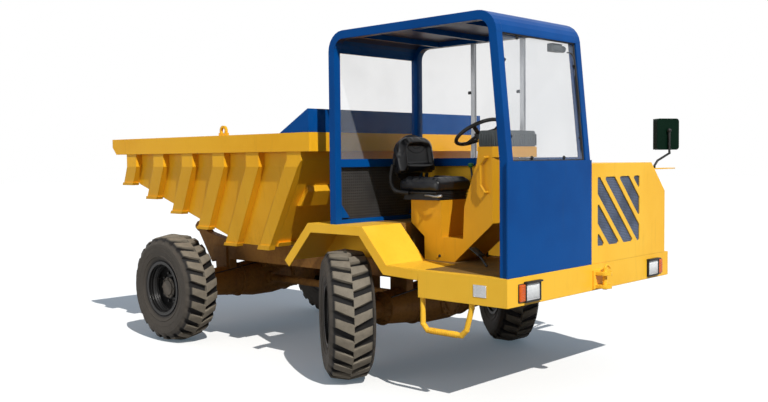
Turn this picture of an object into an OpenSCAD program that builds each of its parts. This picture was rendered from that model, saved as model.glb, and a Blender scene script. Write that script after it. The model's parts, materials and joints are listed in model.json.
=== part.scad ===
// Site dumper with a half-width cab, a side engine hood and a rear-tipping skip.
// Millimetres. +X is forward (cab end), +Y is left, +Z is up, and the ground is z = 0.
// Lengths along the machine are measured from the front axle, ahead positive.

/* [Wheels] */
// Outer diameter of the tyres
tyre_d = 1000; // [940:5:1040]
// Width of the tyres across the sidewalls
tyre_w = 340; // [300:5:370]
// Depth of the tread lugs
lug_h = 36; // [20:1:45]
// Number of lugs along each side of a tyre
lug_count = 24; // [20:2:28]
// Diameter of the rims where the tyre beads sit
rim_d = 480; // [450:5:500]
// Width of the rims between the bead flanges
rim_w = 280; // [250:2:290]
// Distance between the axles
wheelbase = 2330; // [2250:10:2420]
// Distance between tyre centres across the machine
track = 2020; // [1980:10:2060]

/* [Steering] */
// Angle of the front wheels as the machine is parked, to the right
steer_rest = 37; // [0:1:38]
// Distance of each kingpin inboard of its tyre's centre
kingpin_in = 60; // [50:1:70]
// Diameter of the kingpins
kingpin_d = 50; // [40:1:56]

/* [Axles] */
// Outer diameter of the axle tubes
axle_tube_d = 150; // [120:2:160]
// Diameter of the wheel spindles
spindle_d = 80; // [70:1:90]
// Diameter of the differential housings
diff_d = 360; // [300:5:380]
// Running clearance between round faces that turn in each other
run_gap = 0.3; // [0.2:0.05:0.5]

/* [Chassis] */
// Distance between the chassis rails' centres
rail_gap = 800; // [780:10:820]
// Width of each rail
rail_w = 80; // [60:2:90]
// Height of the rails' undersides
rail_z = 720; // [715:1:730]
// Depth of the rails
rail_h = 180; // [170:1:182]
// Distance of the skip pivot behind the rear axle
pivot_back = 420; // [400:5:440]
// Height of the skip pivot
pivot_z = 1020; // [1000:5:1040]
// Diameter of the pivot pins
pivot_d = 60; // [50:1:66]

/* [Skip] */
// Height of the top of the skip's rim
rim_top = 1900; // [1880:5:1940]
// Depth of the rim's box rail
rim_h = 150; // [130:5:160]
// Width of the skip over the rim
skip_w = 2184; // [2150:2:2220]
// Width of the rim's side rails
rim_side = 72; // [60:2:90]
// Distance of the rim's front face behind the front axle
skip_front = 328; // [310:2:350]
// Length of the skip over the rim
skip_l = 2942; // [2850:2:3000]
// Height of the skip's flat bottom
skip_z = 950; // [940:1:975]
// Height of the fold where the side walls start to lean in
fold_z = 1630; // [1600:5:1680]
// Width of the skip's bottom
skip_bottom_w = 1770; // [1700:5:1850]
// Thickness of the skip's plates
skip_plate = 8; // [6:0.5:12]
// Depth of the hat-section ribs
rib_d = 62; // [50:1:68]
// Width of the ribs' faces
rib_w = 170; // [120:5:200]
// Distance between ribs along the rim
rib_pitch = 471; // [450:1:480]
// Height of the headboard above the rim
headboard_h = 184; // [150:2:220]
// Length of the headboard's side wings
wing_l = 352; // [300:2:400]
// Bore of the lifting eyes
eye_d = 50; // [40:1:54]

/* [Tipping cylinder] */
// Bore side diameter of the barrel
barrel_d = 120; // [100:2:130]
// Diameter of the rod
rod_d = 70; // [50:1:76]
// Diameter of the eye pins
eye_pin_d = 44; // [36:1:48]

/* [Bumper] */
// Distance of the bumper's front face ahead of the front axle
bumper_x = 1558; // [1540:2:1580]
// Width of the bumper
bumper_w = 2220; // [2180:4:2260]
// Height of the bumper's underside
bumper_z = 724; // [715:1:735]
// Depth of the bumper's face
bumper_h = 190; // [180:2:200]
// Thickness of the bumper section
bumper_t = 60; // [50:1:70]
// Distance of the rear end of the bumper's returns ahead of the front axle
return_x = 800; // [760:5:840]
// Reach of the tow jaw ahead of the bumper
jaw_reach = 112; // [90:2:130]

/* [Cab] */
// Distance of the cab's rear face behind the front axle
cab_rear = 100; // [80:2:120]
// Height of the roof
roof_z = 2645; // [2600:5:2700]
// Lean of the windscreen from foot to top
screen_lean = 108; // [80:2:130]
// Height of the windscreen's foot
screen_z = 1665; // [1640:5:1690]
// Distance of the cab's right face from the machine's centre
cab_right = 1090; // [1075:1:1100]
// Distance of the cab's left face from the machine's centre
cab_left = 85; // [75:1:95]
// Size of the cab's frame tubes
tube = 62; // [50:1:70]
// Radius of the frame's roof corners
roof_r = 150; // [120:5:180]
// Thickness of the glass
glass_t = 6; // [5:0.5:8]
// Thickness of the sheet panels
sheet_t = 10; // [8:0.5:12]

/* [Fenders] */
// Height of the fenders' flat tops
fender_z = 1193; // [1180:1:1210]
// Width of the fenders
fender_w = 424; // [400:2:430]
// Depth of the fenders' outer lips
fender_lip = 72; // [60:1:80]

/* [Engine hood] */
// Height of the hood's top
hood_z = 1640; // [1620:2:1655]
// Distance of the hood's left face from the machine's centre
hood_left = 1050; // [1040:1:1065]
// Width of the chamfer along the hood's outer top edge
hood_cham = 230; // [200:5:250]
// Thickness of the hood's sheet
hood_t = 8; // [6:0.5:10]
// Length of the side door
door_l = 760; // [700:5:800]
// Gap round the side door
door_gap = 6; // [5.5:0.5:8]

/* [Hidden] */
$fn = 64;

yellow = "#e0a020";
blue = "#174f96";
black = "#202022";
rubber = "#4a4744";
glass = "#c8d6dc80";
earth = "#7a5a28";

// Wheels and axles
tyre_r = tyre_d / 2;
rim_r = rim_d / 2;
kingpin_y = track / 2 - kingpin_in;
rear_x = -wheelbase;

// Places along the machine
skip_rear = -(skip_front + skip_l);
axle_x = -(bumper_x + jaw_reach + skip_rear) / 2;
rail_y = rail_gap / 2;
rail_top = rail_z + rail_h;
bumper_top = bumper_z + bumper_h;

// Skip outline: upright front wall, raked below its fold, flat bottom and rising floor
rim_z = rim_top - rim_h;
wall_back = 112;
wall_run = 560;
flat_l = 450;
lip_in = 150;
lip_rise = 510;
rear_in = 170;
front_wall_x = -skip_front - wall_back;
front_foot_x = front_wall_x - wall_run;
flat_rear_x = front_foot_x - flat_l;
rear_wall_x = skip_rear + rear_in;
lip_x = rear_wall_x + lip_in;
lip_z = skip_z + lip_rise;
wall_fold_z = fold_z + 50;
shell_w = skip_w - 2 * rim_side;
pivot_x = rear_x - pivot_back;

// Ribs: the first one is the corner post, whose front is flush with the front wall
rib_rake = 0.70;
rib_count = 6;
rib_first = -skip_front - 256;
rib_drop = 34;
cap_t = 28;
cap_out = 8;
floor_slope = lip_rise / (flat_rear_x - lip_x);

// Tipping cylinder: both pins at rest
barrel_x = rear_x + 180;
barrel_z = rail_z - 60;
rod_x = front_foot_x - 50;
rod_z = skip_z - 55;
cyl_angle = atan2(rod_z - barrel_z, rod_x - barrel_x);
cyl_l = norm([rod_x - barrel_x, rod_z - barrel_z]);

// Cab
cab_y0 = -cab_right;
cab_y1 = -cab_left;
screen_top_x = bumper_x - screen_lean;
floor_z = rail_top;
seam = 0.4;
floor_top = bumper_top - 2;
deck_z = fender_z;
fender_y = bumper_w / 2;
fender_in = fender_y - fender_w;
seat_y = -420;

// Moves children from the front axle's frame to the part's frame
module at_axle() {
    translate([axle_x, 0, 0]) children();
}

// Box between two corners
module box(x0, x1, y0, y1, z0, z1) {
    translate([x0, y0, z0]) cube([x1 - x0, y1 - y0, z1 - z0]);
}

// Side-view profile (x, z) carried from y0 to y1
module along_y(y0, y1) {
    translate([0, y1, 0]) rotate([90, 0, 0]) linear_extrude(y1 - y0) children();
}

// Cross-section (y, z) carried from x0 to x1
module along_x(x0, x1) {
    translate([x0, 0, 0]) rotate([90, 0, 90]) linear_extrude(x1 - x0) children();
}

// Round bar along Y at (x, z)
module bar_y(x, z, y0, y1, d) {
    translate([x, y1, z]) rotate([90, 0, 0]) cylinder(h = y1 - y0, d = d);
}

// Round bar between two points
module bar(a, b, d) {
    v = b - a;
    l = norm(v);
    translate(a) rotate([0, acos(v[2] / l), atan2(v[1], v[0])]) cylinder(h = l, d = d);
}

// Both sides of the machine: children drawn for the left, mirrored for the right
module both_sides() {
    children();
    mirror([0, 1, 0]) children();
}

function unit(v) = v / norm(v);
function left_of(v) = [-v[1], v[0]];
function turned_by(a, b) =
    let (d = b - a) d > 180 ? d - 360 : d < -180 ? d + 360 : d;

// Points that round the corner b between a and c
function corner(a, b, c, r, n = 6) =
    r == 0 ? [b] :
    let (
        u = unit(a - b),
        v = unit(c - b),
        half = acos(u * v) / 2,
        o = b + unit(u + v) * r / sin(half),
        s = b + u * r / tan(half) - o,
        e = b + v * r / tan(half) - o,
        a0 = atan2(s[1], s[0]),
        sweep = turned_by(a0, atan2(e[1], e[0]))
    )
    [for (i = [0:n]) o + r * [cos(a0 + sweep * i / n), sin(a0 + sweep * i / n)]];

// Closed outline with each corner rounded by its own radius
function rounded(p, r) =
    let (n = len(p))
    [for (i = [0:n - 1]) each corner(p[(i + n - 1) % n], p[i], p[(i + 1) % n], r[i])];

// Open path with its inner corners rounded
function rounded_path(p, r) =
    let (n = len(p))
    concat([p[0]],
        [for (i = [1:n - 2]) each corner(p[i - 1], p[i], p[i + 1], r)],
        [p[n - 1]]);

// Offset of a corner between two directions, d to the left
function mitre(u, v, d) =
    let (a = left_of(unit(u)), b = left_of(unit(v))) (a + b) * d / (1 + a * b);

// Open path moved d to its left
function beside(p, d) =
    let (n = len(p))
    [for (i = [0:n - 1])
        let (u = i > 0 ? p[i] - p[i - 1] : p[1] - p[0],
             v = i < n - 1 ? p[i + 1] - p[i] : p[n - 1] - p[n - 2])
        p[i] + mitre(u, v, d)];

// Closed outline moved d to its left, inwards when it runs anticlockwise
function inset(p, d) =
    let (n = len(p))
    [for (i = [0:n - 1])
        p[i] + mitre(p[i] - p[(i + n - 1) % n], p[(i + 1) % n] - p[i], d)];

function reversed(p) = [for (i = [len(p) - 1:-1:0]) p[i]];

// Strip of thickness t to the left of an open path
function strip(p, t) = concat(p, reversed(beside(p, t)));

// Wheel frame: +Z of the children points out of the wheel on side s
module at_wheel(x, s) {
    translate([x, s * track / 2, tyre_r]) rotate([-90 * s, 0, 0]) children();
}

// Turns a front corner about its kingpin to the parked steering angle
module steered(s) {
    translate([0, s * kingpin_y, 0]) rotate([0, 0, -steer_rest])
        translate([0, -s * kingpin_y, 0]) children();
}

module front_wheel_at(s) {
    at_axle() steered(s) at_wheel(0, s) children();
}

module rear_wheel_at(s) {
    at_axle() at_wheel(rear_x, s) children();
}

// Tread: shares of a lug's pitch, and the shoulder's drop below the crown
lug_pitch = 360 / lug_count;
lug_mid = 0.3;
lug_end = 0.25;
lug_slope = 0.07;
lug_rake = 0.45;
shoulder_drop = 22;
shoulder_in = 38;
groove_in = 22;
wall_drop = 85;
bead_rise = 60;
bead_in = 8;

function polar(r, a, w) = [r * cos(a), r * sin(a), w];

// Pair of points at the two edges of a lug
function lug_pair(r, mid, half, w) =
    [for (e = [-1, 1]) polar(r, (mid + e * half - lug_mid) * lug_pitch, w)];

// Points of one lug and the wall below it, on side h (1 outer, -1 inner) of the tyre
function lug_points(i, h, rake) =
    let (
        mid = i + (h > 0 ? 0 : 0.5),
        end = mid + rake,
        top = tyre_r - shoulder_drop,
        bead = (rim_r + run_gap) / cos(lug_pitch / 4)
    )
    concat(
        lug_pair(tyre_r, mid, lug_mid, 0),
        lug_pair(top, end, lug_end, h * (tyre_w / 2 - shoulder_in)),
        lug_pair(tyre_r - lug_h, mid, lug_mid, 0),
        lug_pair(top - lug_h, end, lug_end + lug_slope, h * (tyre_w / 2 - groove_in)),
        lug_pair(tyre_r - wall_drop, end, lug_end, h * tyre_w / 2),
        lug_pair(rim_r + bead_rise, end, lug_end, h * (tyre_w / 2 - bead_in)),
        lug_pair(bead, end, lug_end, h * (rim_w / 2 - bead_in))
    );

function quad(a, b, c, d) = [[a, b, c], [a, c, d]];
function facing(h, faces) = h > 0 ? faces : [for (f = faces) reversed(f)];

// Index of point k (0 to 13) of lug i on side h
function lug_id(i, h, k) = 28 * ((i + lug_count) % lug_count) + (h > 0 ? 0 : 14) + k;

// Faces of one lug: its top meets the corners of the two lugs across the centre line
function lug_faces(i, h) =
    let (
        p = function (k) lug_id(i, h, k),
        n = function (k) lug_id(i + 1, h, k),
        c0 = h > 0 ? lug_id(i - 1, -1, 1) : lug_id(i, 1, 1),
        c1 = h > 0 ? lug_id(i, -1, 0) : lug_id(i + 1, 1, 0)
    )
    facing(h, concat(
        [[p(2), p(3), c1], [p(3), p(1), c1], [p(2), c1, c0], [p(2), c0, p(0)]],
        quad(p(1), p(3), p(7), p(5)),
        quad(p(0), p(4), p(6), p(2)),
        quad(p(5), p(7), n(6), n(4)),
        quad(p(2), p(8), p(9), p(3)),
        [[p(3), p(9), p(7)], [p(6), p(8), p(2)]],
        quad(p(7), p(9), n(8), n(6)),
        quad(p(8), p(10), p(11), p(9)),
        quad(p(9), p(11), n(10), n(8)),
        quad(p(10), p(12), p(13), p(11)),
        quad(p(11), p(13), n(12), n(10)),
        quad(n(0), p(1), p(5), n(4))
    ));

// Faces of the bore between the two beads
function bore_faces(i) = concat(
    quad(lug_id(i, 1, 12), lug_id(i - 1, -1, 13), lug_id(i, -1, 12), lug_id(i, 1, 13)),
    quad(lug_id(i, 1, 13), lug_id(i, -1, 12), lug_id(i, -1, 13), lug_id(i + 1, 1, 12))
);

// Tyre with two rows of raked lugs that meet half a pitch apart, on side s of the machine
module tyre(s) {
    color(rubber) polyhedron(
        points = [for (i = [0:lug_count - 1]) for (h = [1, -1])
            each lug_points(i, h, -s * lug_rake)],
        faces = [for (i = [0:lug_count - 1])
            each concat(lug_faces(i, 1), lug_faces(i, -1), bore_faces(i))]
    );
}

// Rim: stepped barrel with bead flanges, dished disc and closed hub
barrel_t = 10;
flange_h = 12;
flange_t = 8;
well_w = 95;
well_t = 26;
disc_in = 16;
disc_t = 14;
hub_r = 100;
hub_end = 72;
hub_in = 10;
hub_wall = 16;
hub_bore_end = hub_end - hub_wall;
dust_cap_r = 62;
dust_cap_h = 14;

module rim() {
    half = rim_w / 2;
    color(black) difference() {
        union() {
            rotate_extrude($fn = 96) polygon([
                [rim_r - barrel_t, -half - flange_t],
                [rim_r + flange_h, -half - flange_t],
                [rim_r + flange_h, -half],
                [rim_r, -half],
                [rim_r, half],
                [rim_r + flange_h, half],
                [rim_r + flange_h, half + flange_t],
                [rim_r - barrel_t, half + flange_t],
                [rim_r - barrel_t, well_w],
                [rim_r - well_t, well_w - well_t],
                [rim_r - well_t, -well_w],
                [rim_r - barrel_t, -well_w - well_t]
            ]);
            translate([0, 0, disc_in]) cylinder(h = disc_t, r = rim_r - barrel_t);
            translate([0, 0, hub_in]) cylinder(h = hub_end - hub_in, r = hub_r);
            translate([0, 0, hub_end]) cylinder(h = dust_cap_h, r = dust_cap_r);
        }
        translate([0, 0, hub_in - 1])
            cylinder(h = hub_bore_end - hub_in + 1, d = spindle_d + 2 * run_gap);
    }
}

module tyre_front_right() { front_wheel_at(-1) tyre(-1); }
module tyre_front_left() { front_wheel_at(1) tyre(1); }
module tyre_rear_right() { rear_wheel_at(-1) tyre(-1); }
module tyre_rear_left() { rear_wheel_at(1) tyre(1); }
module rim_front_right() { front_wheel_at(-1) rim(); }
module rim_front_left() { front_wheel_at(1) rim(); }
module rim_rear_right() { rear_wheel_at(-1) rim(); }
module rim_rear_left() { rear_wheel_at(1) rim(); }

// Axle ends: fork ears that hold the kingpins, and the knuckle between them
fork_z = 115;
ear_t = 26;
fork_in = 86;
fork_t = 30;
fork_half = 45;
knuckle_r = 62;
knuckle_gap = 5;
pin_proud = 4;
spindle_gap = 6;
spindle_end = hub_bore_end - spindle_gap;

module spindle(s, from) {
    y0 = track / 2 - from;
    y1 = track / 2 + spindle_end;
    bar_y(0, tyre_r, s > 0 ? y0 : -y1, s > 0 ? y1 : -y0, spindle_d);
}

module fork() {
    ear_z = [tyre_r + fork_z, tyre_r - fork_z - ear_t];
    for (z = ear_z) {
        difference() {
            union() {
                translate([0, kingpin_y, z]) cylinder(h = ear_t, r = fork_half);
                box(-fork_half, fork_half, kingpin_y - fork_in, kingpin_y, z, z + ear_t);
            }
            translate([0, kingpin_y, z - 1])
                cylinder(h = ear_t + 2, d = kingpin_d + 2 * run_gap);
        }
    }
    box(-fork_half, fork_half, kingpin_y - fork_in - fork_t, kingpin_y - fork_in,
        tyre_r - fork_z - ear_t, tyre_r + fork_z + ear_t);
}

// Axle casing: differential in the middle, tapering to a trumpet on each side
casing_mid = 120;
casing_knee = 300;
casing_knee_d = 312;
casing_end = 650;
casing_end_d = 250;
casing_face = 40;

module axle_casing(x) {
    half = [
        [casing_end + casing_face, axle_tube_d / 2], [casing_end, casing_end_d / 2],
        [casing_knee, casing_knee_d / 2], [casing_mid, diff_d / 2]
    ];
    translate([x, 0, tyre_r]) rotate([90, 0, 0]) rotate_extrude() polygon(concat(
        [[0, -half[0][0]]], [for (p = half) [p[1], -p[0]]],
        [for (p = reversed(half)) [p[1], p[0]]], [[0, half[0][0]]]
    ));
}

axle_pad = 90;
pad_in = 20;

// Seats that join an axle to the rails
module axle_pads(x) {
    both_sides() box(x - axle_pad, x + axle_pad, rail_y - rail_w / 2, rail_y + rail_w / 2,
        tyre_r + pad_in, rail_z);
}

module front_axle() {
    color(earth) at_axle() {
        bar_y(0, tyre_r, -(kingpin_y - fork_in - 1), kingpin_y - fork_in - 1, axle_tube_d);
        axle_casing(0);
        both_sides() fork();
        axle_pads(0);
    }
}

plate_front = 50;
plate_rear = 140;
plate_drop = 140;
plate_up = 120;
plate_t = 14;

// Bracket plates from the rails down to the rear axle
module axle_plates() {
    y = rail_y + rail_w / 2 + run_gap;
    both_sides() along_y(y, y + plate_t) polygon([
        [rear_x - plate_rear, rail_z + plate_up], [rear_x - plate_rear + plate_front,
        tyre_r - plate_drop], [rear_x + plate_front, tyre_r - plate_drop],
        [rear_x + plate_front, rail_z + plate_up]
    ]);
}

tube_in = 40;
spindle_in = 60;

module rear_axle() {
    color(earth) at_axle() {
        tube_y = track / 2 - tube_in;
        bar_y(rear_x, tyre_r, -tube_y, tube_y, axle_tube_d);
        axle_casing(rear_x);
        both_sides() translate([rear_x, 0, 0]) spindle(1, spindle_in);
        axle_pads(rear_x);
        axle_plates();
    }
}

module knuckle(s) {
    color(black) at_axle() steered(s) {
        translate([0, s * kingpin_y, tyre_r - fork_z + knuckle_gap])
            cylinder(h = 2 * (fork_z - knuckle_gap), r = knuckle_r);
        translate([0, s * kingpin_y, tyre_r - fork_z - ear_t - pin_proud])
            cylinder(h = 2 * (fork_z + ear_t + pin_proud), d = kingpin_d);
        spindle(s, kingpin_in);
    }
}

module knuckle_right() { knuckle(-1); }
module knuckle_left() { knuckle(1); }

gearbox_x = -900;
gearbox_l = 300;
gearbox_w = 260;
gearbox_drop = 90;
gearbox_up = 100;
shaft_d = 70;
shaft_gap = 0.5;
yoke_d = 124;
yoke_t = 46;

// Shaft with a yoke at each end
module shaft(x0, x1) {
    bar([x0, 0, tyre_r], [x1, 0, tyre_r], shaft_d);
    for (x = [x0, x1 - yoke_t]) bar([x, 0, tyre_r], [x + yoke_t, 0, tyre_r], yoke_d);
}

// Transfer box under the chassis and the two shafts to the axles
module drive_shafts() {
    inner = rail_y - rail_w / 2;
    reach = diff_d / 2 + shaft_gap;
    color(earth) at_axle() {
        box(gearbox_x - gearbox_l / 2, gearbox_x + gearbox_l / 2, -inner, inner, rail_z,
            rail_z + gearbox_up);
        box(gearbox_x - gearbox_l / 2, gearbox_x + gearbox_l / 2, -gearbox_w / 2, gearbox_w / 2,
            tyre_r - gearbox_drop, rail_z);
        shaft(gearbox_x + gearbox_l / 2, -reach);
        shaft(rear_x + reach, gearbox_x - gearbox_l / 2);
    }
}

rail_front = bumper_x - bumper_t;
lug_w = 40;
lug_gap = 5;
pivot_ear_r = 52;
pin_out = 24;
rest_gap = 5;
rest_l = 200;
rest_in = 100;
cross_w = 80;
cross_front = 120;
cross_mid = 560;
rail_end = 148;
rail_end_up = 66;
rail_end_down = 48;
rail_end_l = 350;
rail_drop_l = 170;

// Rail's rear end with the ear of the skip pivot behind it, side view
module pivot_ear() {
    x = pivot_x + rail_end;
    translate([pivot_x, pivot_z]) circle(r = pivot_ear_r);
    polygon([
        [pivot_x, pivot_z - pivot_ear_r], [x + rail_end_up, rail_z - rail_end_down],
        [x + rail_drop_l, rail_z], [x + rail_end_l, rail_z], [x + rail_end_l, rail_top],
        [x, rail_top + rail_end_up],
        [pivot_x, pivot_z + pivot_ear_r]
    ]);
}

barrel_lug_in = barrel_d / 2 + 6;
barrel_lug_t = 24;
barrel_lug_r = 48;
barrel_cross = 85;
barrel_cross_in = 55;
barrel_eye_w = 2 * (barrel_lug_in - lug_gap);
barrel_eye_d = 92;
barrel_foot = 62;
barrel_end = 165;
rod_foot = 85;
rod_eye_w = 80;
rod_eye_d = 84;
rod_lug_gap = 6;
rod_lug_t = 24;
barrel_l = cyl_l - barrel_end;

module barrel_lug() {
    x1 = barrel_x - barrel_cross_in;
    translate([barrel_x, barrel_z]) circle(r = barrel_lug_r);
    polygon([
        [barrel_x - barrel_lug_r * 0.71, barrel_z - barrel_lug_r * 0.71],
        [barrel_x + barrel_lug_r * 0.71, barrel_z + barrel_lug_r * 0.71],
        [x1, rail_z + barrel_cross], [x1 - barrel_cross, rail_z + barrel_cross],
        [x1 - barrel_cross, rail_z]
    ]);
}

// Two rails with cross-members, skip pivots with their pins, and rest pads
module chassis_frame() {
    inner = rail_y - rail_w / 2;
    outer = rail_y + rail_w / 2;
    color(earth) at_axle() {
        both_sides() {
            box(pivot_x + rail_end + rail_end_l, rail_front, inner, outer, rail_z, rail_top);
            along_y(inner, outer) pivot_ear();
            bar_y(pivot_x, pivot_z, inner - lug_w - 2 * lug_gap, outer + pin_out, pivot_d);
            box(front_foot_x - rest_in - rest_l, front_foot_x - rest_in, inner, outer,
                rail_top, skip_z - rest_gap);
        }
        for (x = [rail_front - cross_front, cross_mid, -cross_mid, pivot_x + rail_end + cross_w]) {
            box(x - cross_w / 2, x + cross_w / 2, -inner, inner, rail_z, rail_top);
        }
        // Cross-member with the lower pin of the tipping cylinder
        box(barrel_x - barrel_cross_in - barrel_cross, barrel_x - barrel_cross_in, -inner, inner,
            rail_z, rail_top);
        both_sides() along_y(barrel_lug_in, barrel_lug_in + barrel_lug_t) barrel_lug();
        bar_y(barrel_x, barrel_z, -barrel_lug_in - barrel_lug_t,
            barrel_lug_in + barrel_lug_t, eye_pin_d);
    }
}

// Places children along the tipping cylinder, from its lower pin
module at_cylinder() {
    at_axle() translate([barrel_x, 0, barrel_z]) rotate([0, -cyl_angle, 0]) children();
}

gland_d = barrel_d + 16;
gland_l = 60;
bore_in = 10;

module cylinder_barrel() {
    color(black) at_cylinder() difference() {
        union() {
            translate([barrel_foot, 0, 0]) rotate([0, 90, 0])
                cylinder(h = barrel_l - barrel_foot, d = barrel_d);
            translate([barrel_l - gland_l, 0, 0]) rotate([0, 90, 0])
                cylinder(h = gland_l, d = gland_d);
            bar_y(0, 0, -barrel_eye_w / 2, barrel_eye_w / 2, barrel_eye_d);
            translate([0, -barrel_eye_w / 2, -barrel_eye_d / 4])
                cube([barrel_foot, barrel_eye_w, barrel_eye_d / 2]);
        }
        bar_y(0, 0, -barrel_eye_w, barrel_eye_w, eye_pin_d + 2 * run_gap);
        translate([rod_foot - bore_in, 0, 0]) rotate([0, 90, 0])
            cylinder(h = barrel_l, d = rod_d + 2 * run_gap);
    }
}

// Rod with its eye and pin
module cylinder_rod() {
    pin = rod_eye_w / 2 + rod_lug_gap - 2;
    color("silver") at_cylinder() {
        translate([rod_foot, 0, 0]) rotate([0, 90, 0])
            cylinder(h = cyl_l - rod_foot, d = rod_d);
        bar_y(cyl_l, 0, -rod_eye_w / 2, rod_eye_w / 2, rod_eye_d);
        bar_y(cyl_l, 0, -pin, pin, eye_pin_d);
    }
}

engine_x0 = 330;
engine_l = 850;
engine_y0 = 110;
engine_h = 540;
engine_clear = 46;

// Heavy engine mass under the hood
module engine_block() {
    color("#55585a") at_axle() box(engine_x0, engine_x0 + engine_l, engine_y0,
        fender_in - engine_clear, rail_top, rail_top + engine_h);
}

// Side view of the skip's outside, anticlockwise, closed at the given height
function skip_outline(top) = [
    [front_wall_x, top], [rear_wall_x, top], [rear_wall_x, rim_z], [lip_x, lip_z],
    [flat_rear_x, skip_z], [front_foot_x, skip_z], [front_wall_x, wall_fold_z]
];

// Half widths of the skip's cross-section, moved out by d
function skip_section(d, top) = [
    [-shell_w / 2 - d, top], [-shell_w / 2 - d, fold_z],
    [-skip_bottom_w / 2 - d, skip_z - rib_drop],
    [skip_bottom_w / 2 + d, skip_z - rib_drop],
    [shell_w / 2 + d, fold_z], [shell_w / 2 + d, top]
];

module skip_body(inside) {
    top = rim_top + 4 * inside;
    intersection() {
        along_y(-skip_w / 2, skip_w / 2) polygon(inset(skip_outline(top), inside));
        along_x(skip_rear, 0) polygon(skip_section(-inside, top + 1));
    }
}

skip_lug_r = 60;
skip_lug_front = 260;
skip_lug_rear = 120;
rod_lug_r = 50;

// Hopper of folded plate, its pivot lugs and the tipping cylinder's upper lugs
module skip_shell() {
    lug_y = rail_y - rail_w / 2 - lug_gap;
    rod_lug_in = rod_eye_w / 2 + rod_lug_gap;
    color(yellow) at_axle() {
        difference() {
            skip_body(0);
            skip_body(skip_plate);
        }
        both_sides() difference() {
            along_y(lug_y - lug_w, lug_y) {
                translate([pivot_x, pivot_z]) circle(r = skip_lug_r);
                polygon([
                    [pivot_x - skip_lug_r, pivot_z], [pivot_x + skip_lug_r, pivot_z],
                    [pivot_x + skip_lug_front, floor_at(pivot_x + skip_lug_front)],
                    [pivot_x - skip_lug_rear, floor_at(pivot_x - skip_lug_rear)]
                ]);
            }
            bar_y(pivot_x, pivot_z, 0, skip_w, pivot_d + 2 * run_gap);
        }
        both_sides() along_y(rod_lug_in, rod_lug_in + rod_lug_t) polygon([
            [rod_x - 2 * rod_lug_r, skip_z], [rod_x - rod_lug_r, rod_z - rod_lug_r],
            [rod_x + rod_lug_r, rod_z - rod_lug_r], [rod_x + rod_lug_r, skip_z]
        ]);
    }
}

// Height of the skip's rising floor at x
function floor_at(x) = skip_z + floor_slope * (flat_rear_x - x);

eye_x = -1473;
eye_t = 20;
eye_r = 46;
eye_sink = 6;
eye_foot = 14;
eye_foot_h = 24;
rim_cham = 70;

// Box rim all round with the lifting eyes on top
module skip_rim() {
    eye_y = skip_w / 2 - rim_side / 2;
    eye_z = rim_top + eye_r - eye_sink;
    foot = eye_r + eye_foot;
    color(yellow) at_axle() {
        difference() {
            along_y(-skip_w / 2, skip_w / 2) polygon([
                [skip_rear, rim_top], [skip_rear, rim_z + rim_cham], [skip_rear + rim_cham, rim_z],
                [-skip_front, rim_z], [-skip_front, rim_top]
            ]);
            box(rear_wall_x, front_wall_x, -shell_w / 2, shell_w / 2, rim_z - 1, rim_top + 1);
        }
        both_sides() difference() {
            along_y(eye_y - eye_t / 2, eye_y + eye_t / 2) {
                translate([eye_x, eye_z]) circle(r = eye_r);
                translate([eye_x - foot, rim_top]) square([2 * foot, eye_foot_h]);
            }
            bar_y(eye_x, eye_z, 0, skip_w, eye_d);
            box(eye_x - foot, eye_x + foot, 0, skip_w, rim_z, rim_top);
        }
    }
}

// Point of the raked front wall at height z
function wall_at(z) =
    [front_wall_x - (wall_fold_z - z) * wall_run / (wall_fold_z - skip_z), z];

// Middle of rib i at its top, and the height of its flat lower end on the floor
function rib_x(i) = rib_first - i * rib_pitch;
function rib_foot(i) =
    let (reach = flat_rear_x - rib_x(i) + rib_rake * fold_z)
    max(skip_z, (skip_z + floor_slope * reach) / (1 + floor_slope * rib_rake)) - cap_t;

// Side view of rib i down to height z, widened by d
function rib_side(i, z0, z1, d) =
    let (
        x = rib_x(i),
        lean = function (z) rib_rake * max(0, fold_z - z),
        half = rib_w / 2 + d
    )
    concat(
        [[x - half - lean(z1), z1]],
        z1 > fold_z && z0 < fold_z ? [[x - half, fold_z]] : [],
        [[x - half - lean(z0), z0], [x + half - lean(z0), z0]],
        z1 > fold_z && z0 < fold_z ? [[x + half, fold_z]] : [],
        [[x + half - lean(z1), z1]]
    );

post_top_w = 175;
post_foot_w = 138;

// Side view of the corner post from height z0 to z1
function post_side(z0, z1, d) =
    let (
        low = wall_at(z0),
        high = z1 > wall_fold_z ? [front_wall_x, z1] : wall_at(z1),
        share = function (z) (z - skip_z) / (rim_z - skip_z),
        width = function (z) post_foot_w + (post_top_w - post_foot_w) * share(z) + d
    )
    concat(
        [high, [high[0] - width(z1), z1]],
        z1 > wall_fold_z ? [[front_wall_x - width(wall_fold_z), wall_fold_z]] : [],
        [[low[0] - width(z0), z0], [low[0] + d, z0]],
        z1 > wall_fold_z ? [[front_wall_x, wall_fold_z]] : []
    );

beam_z = 1475;
beam_h = 170;
beam_d = 42;
beam_side = 30;
lip_h = 36;
lip_d = 26;

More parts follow.
